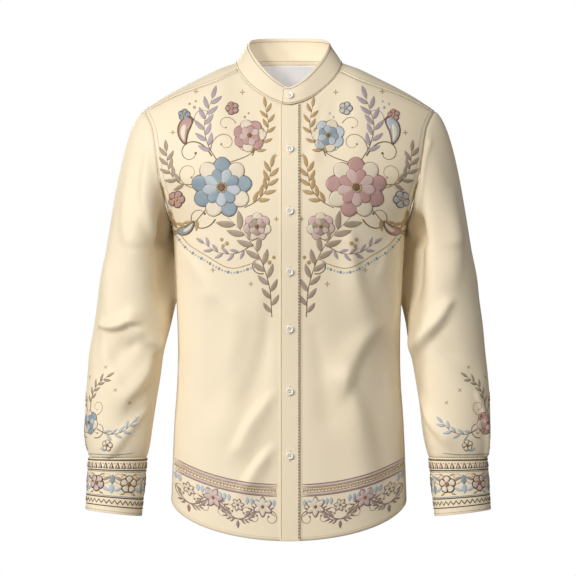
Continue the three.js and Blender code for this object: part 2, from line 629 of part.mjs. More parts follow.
// A cuff is one strip round the wrist whose outer end passes over its inner end.
function cuffFace(side) {
  const middle = side < 0 ? WRIST.middleRight : WRIST.middleLeft;
  const shift = side < 0 ? CUFF.shift.right : CUFF.shift.left;
  const grid = [];
  for (let i = 0; i <= CUFF.columns; i += 1) {
    const angle = CUFF.opening + ((360 + CUFF.lapAngle) * i) / CUFF.columns;
    const turn = THREE.MathUtils.degToRad(angle);
    const over = clamp((angle - CUFF.lapFrom) / CUFF.lapOver, 0, 1);
    const out = PROUD + CUFF.lap * over * over * (3 - 2 * over);
    const column = [];
    for (let j = 0; j <= CUFF.rows; j += 1) {
      const t = j / CUFF.rows;
      const x = middle + shift * t + (WRIST.half + out - CUFF.narrow * t) * Math.sin(turn);
      const y = WRIST.y - CUFF.forward * t - (WRIST.deep + out - CUFF.narrow * t) * Math.cos(turn);
      const bottom = CUFF.bottom + CUFF.slope * Math.sin(turn);
      column.push(point(x, y, mix(CUFF.top, bottom, t)));
    }
    grid.push(column);
  }
  return grid;
}

// A four-hole button, lying at a place with its face along a direction.
function button(name, place, facing) {
  const disc = new THREE.Shape();
  const round = (path, x, y, radius, sides) => {
    for (let i = 0; i <= sides; i += 1) {
      const turn = (2 * Math.PI * i) / sides;
      const to = [x + radius * Math.cos(turn), y + radius * Math.sin(turn)];
      if (i === 0) path.moveTo(...to);
      else path.lineTo(...to);
    }
  };
  round(disc, 0, 0, BUTTON.radius, BUTTON.sides);
  for (const [x, y] of [[1, 1], [-1, 1], [-1, -1], [1, -1]]) {
    const hole = new THREE.Path();
    round(hole, x * BUTTON.holeAt, y * BUTTON.holeAt, BUTTON.hole, 6);
    disc.holes.push(hole);
  }
  const geometry = new THREE.ExtrudeGeometry(disc, { depth: BUTTON.thick, bevelEnabled: false });
  const mesh = add(name, geometry, COLOURS.shell, 0.25);
  mesh.quaternion.setFromUnitVectors(point(0, 0, 1), facing);
  mesh.position.copy(place).addScaledVector(facing, BUTTON.gap);
}

// The place on a strip, between two of its columns, at a height, and the way it faces there.
function onStrip(a, b, x, z) {
  const columns = a.map((p, j) => p.clone().lerp(b[j], (x - p.x) / (b[j].x - p.x)));
  const j = columns.findIndex((p) => p.z > z);
  const [low, high] = [columns[j - 1], columns[j]];
  const place = low.clone().lerp(high, (z - low.z) / (high.z - low.z));
  const facing = b[j].clone().sub(a[j]).cross(high.clone().sub(low)).normalize();
  return [place, facing];
}

const sleeves = { left: sleeve(1), right: sleeve(-1) };
for (const hand of ["left", "right"]) {
  const flip = hand === "left" ? (grid) => grid : mirrored;
  const out = normals(sleeves[hand], true, -1);
  const inner = moved(sleeves[hand], out, -CLOTH);
  add(`sleeve_${hand}`, wall(flip(sleeves[hand]), flip(inner), true), COLOURS.sateen);
  const strip = sleevePlacket(sleeves[hand], out);
  const cuff = cuffFace(hand === "left" ? 1 : -1);
  const cuffOut = normals(cuff, false, -1);
  const cuffInner = moved(cuff, cuffOut, -DOUBLE);
  if (hand === "right") facingOut(strip.scale(-1, 1, 1));
  add(`sleeve_placket_${hand}`, strip, COLOURS.sateen);
  add(`cuff_${hand}`, wall(flip(cuff), flip(cuffInner), false), COLOURS.sateen);
  CUFF_BUTTONS.forEach((share, i) => {
    const rows = share * CUFF.rows;
    const [a, b] = [cuff.at(-2)[Math.floor(rows)], cuff.at(-2)[Math.ceil(rows)]];
    const place = a.clone().lerp(b, rows % 1);
    const facing = cuffOut.at(-2)[Math.round(rows)].clone();
    const turned = hand === "left" ? point(1, 1, 1) : point(-1, 1, 1);
    button(`cuff_button_${hand}_${i + 1}`, place.multiply(turned), facing.multiply(turned));
  });
}

FRONT_BUTTONS.forEach((z, i) => {
  const strip = i === 0 ? [collarFace.at(-1), collarFace.at(-2)] : [placketFace[1], placketFace[3]];
  button(`button_${i + 1}`, ...onStrip(...strip, PLACKET.middle, z));
});

export default shirt;
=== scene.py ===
"""A cream cotton-sateen western shirt with a stand collar, embroidered chest, hem and cuffs.

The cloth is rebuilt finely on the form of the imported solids. Lengths in this script are
millimetres until a mesh is made; Blender's own are metres.
"""

import math

import bmesh
import bpy
import numpy as np
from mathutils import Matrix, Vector


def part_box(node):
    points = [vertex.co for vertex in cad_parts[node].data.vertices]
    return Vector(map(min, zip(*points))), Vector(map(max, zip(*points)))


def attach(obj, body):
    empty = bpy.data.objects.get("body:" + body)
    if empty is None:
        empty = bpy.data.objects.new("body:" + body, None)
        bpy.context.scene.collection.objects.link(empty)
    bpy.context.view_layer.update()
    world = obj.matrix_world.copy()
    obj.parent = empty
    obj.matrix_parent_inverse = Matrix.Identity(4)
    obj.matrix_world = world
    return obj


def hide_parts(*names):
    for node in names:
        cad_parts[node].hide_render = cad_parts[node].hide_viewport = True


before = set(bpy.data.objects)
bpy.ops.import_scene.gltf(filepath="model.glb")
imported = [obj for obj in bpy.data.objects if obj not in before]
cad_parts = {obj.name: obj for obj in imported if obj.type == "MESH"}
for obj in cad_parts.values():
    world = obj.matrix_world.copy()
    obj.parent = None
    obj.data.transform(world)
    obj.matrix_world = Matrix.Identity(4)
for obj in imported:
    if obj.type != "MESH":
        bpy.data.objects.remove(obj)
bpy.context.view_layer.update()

MM = 0.001
BODY = "root"

# ---------------------------------------------------------------- sizes, as the solids have

WALL = 0.9  # of one layer of cloth
DOUBLE = 2.0  # of the collar, cuffs and plackets
LIFT = 0.5  # from a panel up to what is sewn on it
ARMPIT = -262.0
SECTION = 2.3
BACK_ROUND = 2.6
NECK_HALF, NECK_FRONT, NECK_ROUND, NECK_RISE = 84.5, 68.0, 1.55, 2.5
BACK_SEAM = -95.0
HEM_SIDE, HEM_DROP, HEM_HALF, HEM_ROUND = -688.0, 69.0, 190.5, 1.93
PLACKET_FROM, PLACKET_TO, PLACKET_MIDDLE = -14.4, 17.0, 1.5
COLLAR_HALF, COLLAR_FRONT, COLLAR_BACK = 63.5, -68.0, 44.0
COLLAR_LOW, COLLAR_SIDE, COLLAR_HIGH = -40.0, 30.0, 43.0
COLLAR_FRONT_ROUND, COLLAR_BACK_ROUND = 1.35, 4.0
COLLAR_UNDER, COLLAR_OVER, LAP = 14.0, -12.4, 3.0
PROUD = 0.6
FRONT_BUTTONS = (-53.8, -139.5, -237.5, -333.3, -423.2, -521.4, -622.6)
CUFF_TOP, CUFF_BOTTOM, CUFF_SLOPE = -628.0, -716.0, 5.2
CUFF_SHIFT = {"right": 6.4, "left": 7.4}
CUFF_NARROW, CUFF_FORWARD, CUFF_OPENING, CUFF_LAP = 2.2, 7.5, 134.0, 17.0


def table(names, *rows):
    """A short table as one array for each named column."""
    return dict(zip(names.split(), np.array(rows, float).T))


FORM = table(
    "z half front back edge_front edge_back",
    (-775, 191, 118, 112, 191, 191),
    (-690, 188.5, 118, 112, 188.5, 188.5),
    (-576, 184, 116, 108, 184, 184),
    (-500, 179, 115, 104, 179, 179),
    (-430, 178.5, 117, 103, 178.5, 178.5),
    (-371, 181, 121, 106, 181, 181),
    (-300, 184.5, 126, 111, 184.5, 184.5),
    (-262, 187, 128, 113, 187, 187),
    (-248, 192.8, 128, 114, 190.6, 190.8),
    (-235, 199.5, 128, 115, 194, 195),
    (-205, 217, 128, 117, 200, 204),
    (-182, 235, 128, 118, 206.5, 209.5),
    (-149, 245, 127, 118, 212, 214),
    (-106, 248, 125, 116, 219, 221),
    (-90, 250, 123, 115, 225, 226),
    (-74, 252, 122, 114, 232.5, 232.5),
    (10, 252, 122, 112, 232.5, 232.5),
)
SHOULDER = table(
    "x z drop round",
    (0, 20, 15, 1.7),
    (40, 17, 15, 1.7),
    (70, 8.5, 15, 1.75),
    (85, 1.5, 16, 1.85),
    (111, -8, 19, 2.05),
    (143, -23.4, 15, 2.1),
    (175, -39.6, 10, 2.1),
    (204, -56, 7, 2.1),
    (231, -74, 4, 2.1),
    (255, -93, 4, 2.1),
)
ARM = table(
    "z right left half deep y",
    (-628, 272.4, 268.8, 46.2, 38, -26.5),
    (-610, 272.4, 268, 50.5, 43, -25),
    (-586, 272.4, 267, 54, 47, -22),
    (-538, 268, 264, 56.6, 51, -17),
    (-500, 263.6, 259.6, 58.4, 54, -12),
    (-458, 259.2, 254, 59.6, 56, -7),
    (-416, 250.5, 249, 60.8, 58, -4),
    (-378, 246.6, 245.2, 59.5, 61, -2),
    (-340, 244.8, 244, 56.5, 64, -1),
    (-300, 242, 241.5, 51, 66, 0),
)
CAP = table(
    "angle out ahead down",
    (-180, 0.36, 0.12, 0.9),
    (-90, 0.5, 0, 0.86),
    (0, 0.36, -0.12, 0.9),
    (90, 0.39, 0, 0.21),
    (180, 0.36, 0.12, 0.9),
    (270, 0.5, 0, 0.86),
)
ARM_SLANT = 0.17

# Folds: from a point to another, bowed sideways, wide, deep and sharp. Sharp moves the crest
# towards one side, so that a fold falls away steeply there. On a sleeve x is degrees round it
# from the front, towards the outside.
FOLD_NAMES = "x z to_x to_z bow wide deep sharp"
FRONT_FOLDS = table(
    FOLD_NAMES,
    (98, -285, 140, -420, -9, 17, 12, -0.4),
    (140, -420, 92, -500, -6, 16, 10, -0.4),
    (92, -500, 128, -650, 6, 20, 12, -0.35),
    (152, -380, 142, -620, 4, 26, -7, 0),
    (158, -500, 178, -560, 0, 9, 4, -0.3),
    (150, -262, 186, -340, 8, 11, -5, 0),
    (188, -250, 150, -330, -6, 9, 4, 0.3),
    (-20, -522, -76, -606, -6, 12, 8, 0.4),
    (-20, -606, -66, -668, -4, 10, 8, 0.4),
    (-28, -385, -62, -530, 6, 17, -6, 0),
    (-86, -400, -104, -570, 5, 22, 4.5, 0.2),
    (-60, -430, -120, -540, 8, 20, -3, 0),
    (-140, -370, -168, -540, 4, 13, 4.5, 0.3),
    (-184, -290, -128, -366, 6, 10, 5, -0.3),
    (-150, -262, -184, -330, -8, 12, -4, 0),
    (46, -66, 20, -124, 2, 6, 3, 0.3),
    (60, -72, 38, -150, 3, 8, 2.6, 0.2),
    (-40, -72, -26, -120, -2, 7, 1.8, 0),
    (40, -430, 60, -560, 4, 15, -3, 0),
)
BACK_FOLDS = table(
    FOLD_NAMES,
    (-60, -150, -84, -330, 8, 18, 6, -0.3),
    (58, -140, 90, -350, -6, 17, 6.4, 0.3),
    (-160, -250, -120, -420, 10, 15, 5.6, 0),
    (164, -260, 128, -400, -10, 14, 5.2, 0),
    (-40, -480, -70, -660, 6, 20, 5.6, -0.3),
    (60, -470, 44, -640, -6, 18, 5.2, 0.3),
    (-110, -430, -130, -600, 4, 22, -4, 0),
    (8, -300, -14, -470, 5, 24, -4, 0),
)
SLEEVE_FOLDS = {
    "right": table(
        FOLD_NAMES,
        (50, -416, 4, -410, 7, 9, 11, -0.45),
        (4, -410, -48, -450, 5, 10, 11, -0.45),
        (-44, -462, -10, -530, -7, 12, 9, 0.3),
        (-6, -452, 34, -448, 0, 18, -5, 0),
        (46, -424, 14, -500, 4, 13, 5, 0.2),
        (-20, -440, 20, -480, 0, 16, -6, 0),
        (30, -146, -30, -270, 8, 12, 6, -0.4),
        (52, -180, 6, -300, 8, 14, 4, -0.3),
        (150, -400, 230, -440, 6, 12, 6.4, 0),
        (140, -470, 205, -520, -6, 13, 6, 0),
        (-44, -556, 12, -620, 0, 10, 5, 0.2),
        (60, -300, 40, -390, 4, 16, 3.5, 0),
        (242, -240, 242, -352, 0, 26, 15, 0),
        (-118, -240, -118, -352, 0, 26, 15, 0),
        (-58, -190, -62, -350, 0, 22, -18, 0),
    ),
    "left": table(
        FOLD_NAMES,
        (6, -384, -58, -450, 6, 12, 12, -0.4),
        (-20, -440, 30, -490, 0, 17, -5, 0),
        (-68, -538, -24, -594, -4, 11, 7, 0.3),
        (40, -530, 70, -622, 3, 7, 5, 0.2),
        (36, -126, -36, -226, -8, 13, 13, -0.5),
        (50, -210, 20, -330, 5, 15, 4, -0.2),
        (150, -390, 235, -430, 6, 12, 6.4, 0),
        (145, -455, 200, -510, -6, 13, 6, 0),
        (120, -560, 150, -622, 0, 10, 5, 0),
        (242, -240, 242, -352, 0, 26, 15, 0),
        (-118, -240, -118, -352, 0, 26, 15, 0),
        (-56, -160, -62, -350, 0, 24, -22, 0),
    ),
}
PUSH_SHARE = 120.0  # a fold's depth is a share of the form's, and this depth gives it in full

# ---------------------------------------------------------------- the form


def along(rows, key, at, column):
    """A smooth curve through one column of a table whose rows rise in the column key."""
    k, v = rows[key], rows[column]
    slope = np.empty_like(v)
    slope[1:-1] = (v[2:] - v[:-2]) / (k[2:] - k[:-2])
    slope[0] = (v[1] - v[0]) / (k[1] - k[0])
    slope[-1] = (v[-1] - v[-2]) / (k[-1] - k[-2])
    at = np.clip(at, k[0], k[-1])
    i = np.clip(np.searchsorted(k, at, side="right") - 1, 0, len(k) - 2)
    step = k[i + 1] - k[i]
    t = (at - k[i]) / step
    s = 1 - t
    ends = v[i] * s * s * (1 + 2 * t) + v[i + 1] * t * t * (1 + 2 * s)
    return ends + step * s * t * (slope[i] * s - slope[i + 1] * t)


def mix(a, b, t):
    return a + (b - a) * t


def smooth(t):
    t = np.clip(t, 0, 1)
    return t * t * (3 - 2 * t)


def superellipse(share, round_):
    return np.maximum(0, 1 - np.clip(share, 0, 1) ** round_) ** (1 / round_)


def folded(folds, x, z):
    """How far the folds push the cloth out. Each starts narrow and spreads towards its end."""
    push = np.zeros(np.broadcast(x, z).shape)
    for x0, z0, x1, z1, bow, wide, deep, sharp in zip(*(folds[n] for n in FOLD_NAMES.split())):
        dx, dz = x1 - x0, z1 - z0
        length = math.hypot(dx, dz)
        t = ((x - x0) * dx + (z - z0) * dz) / length**2
        inside = np.clip(t, 0, 1)
        away = ((z - z0) * dx - (x - x0) * dz) / length - bow * 4 * inside * (1 - inside)
        past = np.maximum(0, np.maximum(-t, t - 1)) * length
        width = wide * (0.7 + 0.55 * inside) * (1 + sharp * np.tanh(away / wide))
        fade = past / (wide * (0.8 + inside))
        push = push + deep * (0.5 + 0.5 * smooth(2 * inside)) * np.exp(-((away / width) ** 2) - fade**2)
    return push


def crest(x):
    return along(SHOULDER, "x", np.abs(x), "z")


def turn_round(side, x):
    return along(SHOULDER, "x", np.abs(x), "round") if side < 0 else BACK_ROUND


def armhole_edge(side, z):
    return along(FORM, "z", z, "edge_front" if side < 0 else "edge_back")


def section_depth(side, x, z):
    across = superellipse(np.abs(x) / along(FORM, "z", z, "half"), SECTION)
    return side * along(FORM, "z", z, "front" if side < 0 else "back") * across


def points(x, y, z):
    return np.stack(np.broadcast_arrays(x, y, z), axis=-1).astype(float)


def body_point(side, x, z):
    """The body's outer face at x and height z. side is -1 in front and 1 behind."""
    rise = np.clip((z - ARMPIT) / (crest(x) - ARMPIT), 0, 1)
    loose = np.clip(np.abs(x - PLACKET_MIDDLE) / 22 - 0.7, 0, 1) if side < 0 else 1
    push = 1 + loose * folded(FRONT_FOLDS if side < 0 else BACK_FOLDS, x, z) / PUSH_SHARE
    return points(x, section_depth(side, x, z) * superellipse(rise, turn_round(side, x)) * push, z)


def shoulder_point(x, turn):
    """The yoke's outer face. turn is below 0 in front, 0 on the crest and above 0 behind."""
    round_ = np.where(turn < 0, 2 / turn_round(-1, x), 2 / turn_round(1, x))
    z = ARMPIT + (crest(x) - ARMPIT) * np.cos(turn) ** round_
    depth = np.where(turn < 0, section_depth(-1, x, z), section_depth(1, x, z))
    return points(x, depth * np.abs(np.sin(turn)) ** round_, z)


def turn_at(side, x, z):
    rise = np.clip((z - ARMPIT) / (crest(x) - ARMPIT), 0, 1)
    return side * np.arccos(rise ** (turn_round(side, x) / 2))


def neck_front(x):
    return -NECK_FRONT * superellipse(np.abs(x) / NECK_HALF, NECK_ROUND)


def neck_back(x):
    return crest(NECK_HALF) + NECK_RISE * (1 - (x / NECK_HALF) ** 2)


def front_seam(x):
    return crest(x) - along(SHOULDER, "x", np.abs(x), "drop")


def hem_at(x):
    return HEM_SIDE - HEM_DROP * superellipse(np.abs(x) / HEM_HALF, HEM_ROUND)


def neck_corner():
    x = NECK_HALF
    while neck_front(x) > front_seam(x):
        x -= 0.05
    return float(x)


def seam_end(side, seam):
    x = 225.0
    for _ in range(30):
        x = float(armhole_edge(side, seam(x)))
    return x


CORNER = neck_corner()
FRONT_END = seam_end(-1, front_seam)
BACK_END = seam_end(1, lambda x: BACK_SEAM)

# ---------------------------------------------------------------- grids and walls


def facing(grid, tube=False):
    """Unit normals of a grid whose first axis runs across and whose second runs along."""
    if tube:
        across = np.roll(grid, -1, 0) - np.roll(grid, 1, 0)
    else:
        across = np.gradient(grid, axis=0)
    n = np.cross(across, np.gradient(grid, axis=1))
    return n / np.maximum(np.linalg.norm(n, axis=-1, keepdims=True), 1e-9)


def away_from(normals, grid, middle):
    """The same normals, turned so that most of them point away from a middle line."""
    outward = ((grid - middle) * normals).sum()
    return normals if outward > 0 else -normals


def lengths(grid, axis):
    """How far each point of a grid is along an axis, in millimetres."""
    step = np.linalg.norm(np.diff(grid, axis=axis), axis=-1)
    total = np.cumsum(step, axis=axis)
    return np.concatenate([np.zeros_like(np.take(total, [0], axis)), total], axis=axis)


def new_piece(name, verts, faces, material, uv=None):
    """A mesh object in the row frame that rides on the shirt. uv is one pair for each vertex."""
    mesh = bpy.data.meshes.new(name)
    mesh.from_pydata((np.asarray(verts) * MM).tolist(), [], faces)
    if uv is not None:
        layer = mesh.uv_layers.new(name="cloth")
        corner = np.empty(len(mesh.loops), np.int32)
        mesh.loops.foreach_get("vertex_index", corner)
        layer.data.foreach_set("uv", (np.asarray(uv)[corner] * MM).ravel())
    mesh.polygons.foreach_set("use_smooth", [True] * len(mesh.polygons))
    mesh.update()
    piece = bpy.data.objects.new(name, mesh)
    bpy.context.scene.collection.objects.link(piece)
    mesh.materials.append(material)
    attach(piece, BODY)
    return piece


def wall_faces(columns, rows, tube):
    """Faces of a closed wall between two grids, the outer one's points first."""
    i, j = np.meshgrid(np.arange(columns if tube else columns - 1), np.arange(rows - 1), indexing="ij")
    i, j = i.ravel(), j.ravel()
    k = (i + 1) % columns
    layer = columns * rows

    def at(l, a, b):
        return l * layer + a * rows + b

    outer = np.stack([at(0, i, j), at(0, k, j), at(0, k, j + 1), at(0, i, j + 1)], 1)
    inner = np.stack([at(1, i, j), at(1, i, j + 1), at(1, k, j + 1), at(1, k, j)], 1)
    a = np.arange(columns if tube else columns - 1)
    b = (a + 1) % columns
    low = np.stack([at(0, a, 0), at(1, a, 0), at(1, b, 0), at(0, b, 0)], 1)
    top = rows - 1
    high = np.stack([at(0, a, top), at(0, b, top), at(1, b, top), at(1, a, top)], 1)
    parts = [outer, inner, low, high]
    if not tube:
        r = np.arange(rows - 1)
        end = columns - 1
        parts.append(np.stack([at(0, 0, r), at(0, 0, r + 1), at(1, 0, r + 1), at(1, 0, r)], 1))
        parts.append(np.stack([at(0, end, r), at(1, end, r), at(1, end, r + 1), at(0, end, r + 1)], 1))
    return np.concatenate(parts)


def volume(verts, quads):
    a, b, c, d = (verts[quads[:, n]] for n in range(4))
    return float((a * np.cross(b, c)).sum() + (a * np.cross(c, d)).sum())


def cloth(name, outer, inner, material, tube=False, edge=0.0):
    """A closed cloth wall from its outer and inner grids, with a rounded edge if edge is set."""
    columns, rows = outer.shape[:2]
    verts = np.concatenate([outer.reshape(-1, 3), inner.reshape(-1, 3)])
    quads = wall_faces(columns, rows, tube)
    if volume(verts, quads) < 0:
        quads = quads[:, ::-1]
    u = lengths(outer, 0)[:, rows // 2]
    v = lengths(outer, 1)
    uv = np.stack([np.broadcast_to(u[:, None], v.shape), v], -1).reshape(-1, 2)
    piece = new_piece(name, verts, quads.tolist(), material, np.concatenate([uv, uv]))
    if edge:
        bevel = piece.modifiers.new("edge", "BEVEL")
        bevel.width, bevel.segments, bevel.limit_method = edge * MM, 2, "ANGLE"
        bevel.angle_limit = math.radians(60)
    return piece


def tucked(grid, normals, edges, deep=0.55, wide=2.2):
    """The grid with the cloth turned in a little at sewn edges, named by axis and end."""
    out = grid.copy()
    for axis, end in edges:
        far = lengths(grid, axis)
        if end:
            far = np.take(far, [-1], axis) - far
        out -= normals * (deep * np.exp(-((far / wide) ** 2)))[..., None]
    return out


# ---------------------------------------------------------------- materials


def linear(hex_colour):
    """An sRGB hex value as linear red, green, blue and alpha."""
    channels = [int(hex_colour[i : i + 2], 16) / 255 for i in (1, 3, 5)]
    return [c / 12.92 if c <= 0.04045 else ((c + 0.055) / 1.055) ** 2.4 for c in channels] + [1.0]


def node(tree, kind, inputs=(), links=(), **settings):
    """Adds a node: settings are its own, inputs its sockets' values and links (socket, source)."""
    made = tree.nodes.new(kind)
    for key, value in settings.items():
        setattr(made, key, value)
    for key, value in dict(inputs).items():
        made.inputs[key].default_value = value
    for key, source in links:
        tree.links.new(source, made.inputs[key])
    return made


def material(name, roughness):
    """A node material, with its node tree and its Principled shader."""
    made = bpy.data.materials.new(name)
    made.use_nodes = True
    tree = made.node_tree
    bsdf = tree.nodes["Principled BSDF"]
    bsdf.inputs["Roughness"].default_value = roughness
    return made, tree, bsdf


def colour_mix(tree, source, low, high):
    """A colour between two as a number goes from 0 to 1."""
    made = tree.nodes.new("ShaderNodeMix")
    made.data_type = "RGBA"
    made.inputs[6].default_value = linear(low)
    made.inputs[7].default_value = linear(high)
    tree.links.new(source, made.inputs[0])
    return made.outputs[2]


def sateen():
    """Cotton sateen: fine yarns floated over the surface, so a soft sheen and no visible grid.
    The yarns, 0.3 mm apart, are drawn 0.9 mm apart so that they show up close."""
    made, tree, bsdf = material("woven_cotton_sateen", 0.62)
    bsdf.inputs["Sheen Weight"].default_value = 0.18
    bsdf.inputs["Sheen Roughness"].default_value = 0.45
    bsdf.inputs["Sheen Tint"].default_value = linear("#fff4dc")
    bsdf.inputs["Specular IOR Level"].default_value = 0.32
    place = node(tree, "ShaderNodeTexCoord")
    uv = node(tree, "ShaderNodeUVMap", uv_map="cloth")
    shade = node(
        tree,
        "ShaderNodeTexNoise",
        {"Scale": 9.0, "Detail": 2.0, "Roughness": 0.5},
        [("Vector", place.outputs["Object"])],
    )
    tree.links.new(colour_mix(tree, shade.outputs["Fac"], "#f2e2c6", "#f6e9d0"), bsdf.inputs["Base Color"])
    yarns = node(
        tree,
        "ShaderNodeTexWave",
        {"Scale": 1 / (0.9 * MM) / 6.2832 * 2, "Distortion": 0.6, "Detail": 1.0, "Detail Scale": 2.0},
        [("Vector", uv.outputs["UV"])],
        bands_direction="DIAGONAL",
    )
    slub = node(
        tree,
        "ShaderNodeTexNoise",
        {"Scale": 160.0, "Detail": 3.0, "Roughness": 0.6},
        [("Vector", place.outputs["Object"])],
    )
    fine = node(
        tree,
        "ShaderNodeBump",
        {"Strength": 0.12, "Distance": 0.12 * MM},
        [("Height", yarns.outputs["Fac"])],
    )
    soft = node(
        tree,
        "ShaderNodeBump",
        {"Strength": 0.25, "Distance": 0.3 * MM},
        [("Height", slub.outputs["Fac"]), ("Normal", fine.outputs["Normal"])],
    )
    tree.links.new(soft.outputs["Normal"], bsdf.inputs["Normal"])
    return made


def lawn():
    """Plain white cotton lawn of the inner yoke: matt, very fine and a little cool."""
    made, tree, bsdf = material("plain_white_cotton_lawn", 0.8)
    bsdf.inputs["Specular IOR Level"].default_value = 0.25
    uv = node(tree, "ShaderNodeUVMap", uv_map="cloth")
    weave = node(tree, "ShaderNodeTexChecker", {"Scale": 1 / (1.2 * MM)}, [("Vector", uv.outputs["UV"])])
    soft = node(tree, "ShaderNodeTexNoise", {"Scale": 60.0}, [("Vector", uv.outputs["UV"])])
    tree.links.new(colour_mix(tree, soft.outputs["Fac"], "#f0eef3", "#faf9fc"), bsdf.inputs["Base Color"])
    bump = node(
        tree, "ShaderNodeBump", {"Strength": 0.1, "Distance": 0.1 * MM}, [("Height", weave.outputs["Fac"])]
    )
    tree.links.new(bump.outputs["Normal"], bsdf.inputs["Normal"])
    return made


def rayon(name, low, high):
    """Embroidery rayon laid in satin stitch: parallel glossy threads across each stitched shape.
    The threads, 0.4 mm apart, are drawn 1.2 mm apart so that they show. The colour runs lighter
    on each raised thread and darker in the grooves between them, a painted highlight and painted
    shade that follow the bump, mixed with a random tone."""
    made, tree, bsdf = material(name, 0.42)
    bsdf.inputs["Sheen Weight"].default_value = 0.25
    bsdf.inputs["Sheen Roughness"].default_value = 0.3
    uv = node(tree, "ShaderNodeUVMap", uv_map="cloth")
    place = node(tree, "ShaderNodeTexCoord")
    threads = node(
        tree,
        "ShaderNodeTexWave",
        {"Scale": 1 / (1.2 * MM) / 6.2832 * 2, "Distortion": 0.8, "Detail": 1.0, "Detail Scale": 1.0},
        [("Vector", uv.outputs["UV"])],
        bands_direction="Y",
    )
    tone = node(
        tree, "ShaderNodeTexNoise", {"Scale": 70.0, "Detail": 2.0}, [("Vector", place.outputs["Object"])]
    )
    both = node(
        tree,
        "ShaderNodeMath",
        {},
        [(0, threads.outputs["Fac"]), (1, tone.outputs["Fac"])],
        operation="MULTIPLY",
    )
    # painted highlight and painted shade: lighter on the raised threads, darker in the grooves, times a
    # random tone
    tree.links.new(colour_mix(tree, both.outputs["Value"], low, high), bsdf.inputs["Base Color"])
    bump = node(
        tree, "ShaderNodeBump", {"Strength": 0.5, "Distance": 0.25 * MM}, [("Height", threads.outputs["Fac"])]
    )
    tree.links.new(bump.outputs["Normal"], bsdf.inputs["Normal"])
    return made


def spun(name, low, high):
    """Spun polyester sewing thread: matt, with a faint twist."""
    made, tree, bsdf = material(name, 0.6)
    place = node(tree, "ShaderNodeTexCoord")
    twist = node(
        tree, "ShaderNodeTexNoise", {"Scale": 900.0, "Detail": 1.0}, [("Vector", place.outputs["Object"])]
    )
    tree.links.new(colour_mix(tree, twist.outputs["Fac"], low, high), bsdf.inputs["Base Color"])
    return made


def resin():
    """Moulded polyester resin made to look like shell: glossy, off-white, softly clouded."""
    made, tree, bsdf = material("polished_shell_resin", 0.16)
    bsdf.inputs["IOR"].default_value = 1.55
    bsdf.inputs["Coat Weight"].default_value = 0.4
    bsdf.inputs["Coat Roughness"].default_value = 0.06
    bsdf.inputs["Subsurface Weight"].default_value = 0.12
    bsdf.inputs["Subsurface Scale"].default_value = 1.5 * MM
    place = node(tree, "ShaderNodeTexCoord")
    cloud = node(
        tree,
        "ShaderNodeTexNoise",
        {"Scale": 260.0, "Detail": 3.0, "Distortion": 1.5},
        [("Vector", place.outputs["Object"])],
    )
    tree.links.new(colour_mix(tree, cloud.outputs["Fac"], "#f3efe4", "#fffefb"), bsdf.inputs["Base Color"])
    return made


SATEEN = sateen()
LAWN = lawn()
RESIN = resin()
THREADS = {
    "slate": rayon("rayon_slate_blue", "#8496a3", "#aab8c2"),
    "sky": rayon("rayon_pale_blue", "#b3bcc4", "#d4dadf"),
    "rose": rayon("rayon_dusty_rose", "#b98d88", "#d9b6b0"),
    "blush": rayon("rayon_blush", "#cdb0aa", "#e6d2cb"),
    "mauve": rayon("rayon_mauve", "#a698a0", "#ccbec3"),
    "plum": rayon("rayon_plum_taupe", "#8d7474", "#ae9691"),
    "gold": rayon("rayon_tan_gold", "#b09060", "#d6bc90"),
    "taupe": rayon("rayon_taupe", "#a08d7b", "#c6b4a1"),
    "brown": rayon("rayon_brown", "#6f5340", "#93745a"),
    "umber": rayon("rayon_umber", "#4c3626", "#6f543f"),
    "cream": rayon("rayon_cream", "#e3d5bd", "#f6ecda"),
    "rust": rayon("rayon_rust", "#8a5a3c", "#b07c58"),
}
DARK_SEWING = spun("sewing_thread_dark_brown", "#2c1e12", "#4a3626")
BROWN_SEWING = spun("sewing_thread_brown", "#6b543a", "#8c7250")
PALE_SEWING = spun("sewing_thread_tan", "#b7a27a", "#cdb98f")

# ---------------------------------------------------------------- body panels


def front_columns(hand, neck, seam):
    """The ends of a front's columns, along the neckline and then along the yoke's seam."""
    start = 9.0 if hand > 0 else -8.4
    x = np.concatenate([
        mix(start, CORNER, np.sin(np.arange(neck) / neck * math.pi / 2)),
        mix(CORNER, FRONT_END, np.linspace(0, 1, seam + 1)),
    ])
    z = np.where(np.arange(len(x)) < neck, neck_front(x), front_seam(x))
    return x, z


def panel(side, top_x, top_z, hand, lower, upper):
    """The outer grid of a front or back panel, from the hem up to the given ends."""
    x, top = np.abs(top_x), top_z
    follow = np.minimum(1, x / 80)[:, None]
    low = hem_at(top_x * (armhole_edge(side, HEM_SIDE) / armhole_edge(side, top)) ** follow[:, 0])
    down = mix(low[:, None], ARMPIT, np.linspace(0, 1, lower + 1)[None, :])
    up = mix(ARMPIT, top[:, None], (np.arange(1, upper + 1) / upper)[None, :])
    z = np.concatenate([down, up], axis=1)
    share = armhole_edge(side, z) / armhole_edge(side, top)[:, None]
    return body_point(side, hand * top_x[:, None] * share**follow, z)


def make_fronts():
    for name, hand in (("front_left", 1), ("front_right", -1)):
        grid = panel(-1, *front_columns(hand, 16, 56), hand, 112, 52)
        normals = away_from(facing(grid), grid, np.array([0, 0, -400]))
        shaped = tucked(grid, normals, [(0, 1)])
        piece = cloth(name + "_cloth", shaped, shaped - normals * WALL, SATEEN)
        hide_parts(name)


# the shares of the back seam behind the neck's widest point and behind the yoke's front corner
BEHIND_NECK, BEHIND_CORNER = 0.5, 0.6


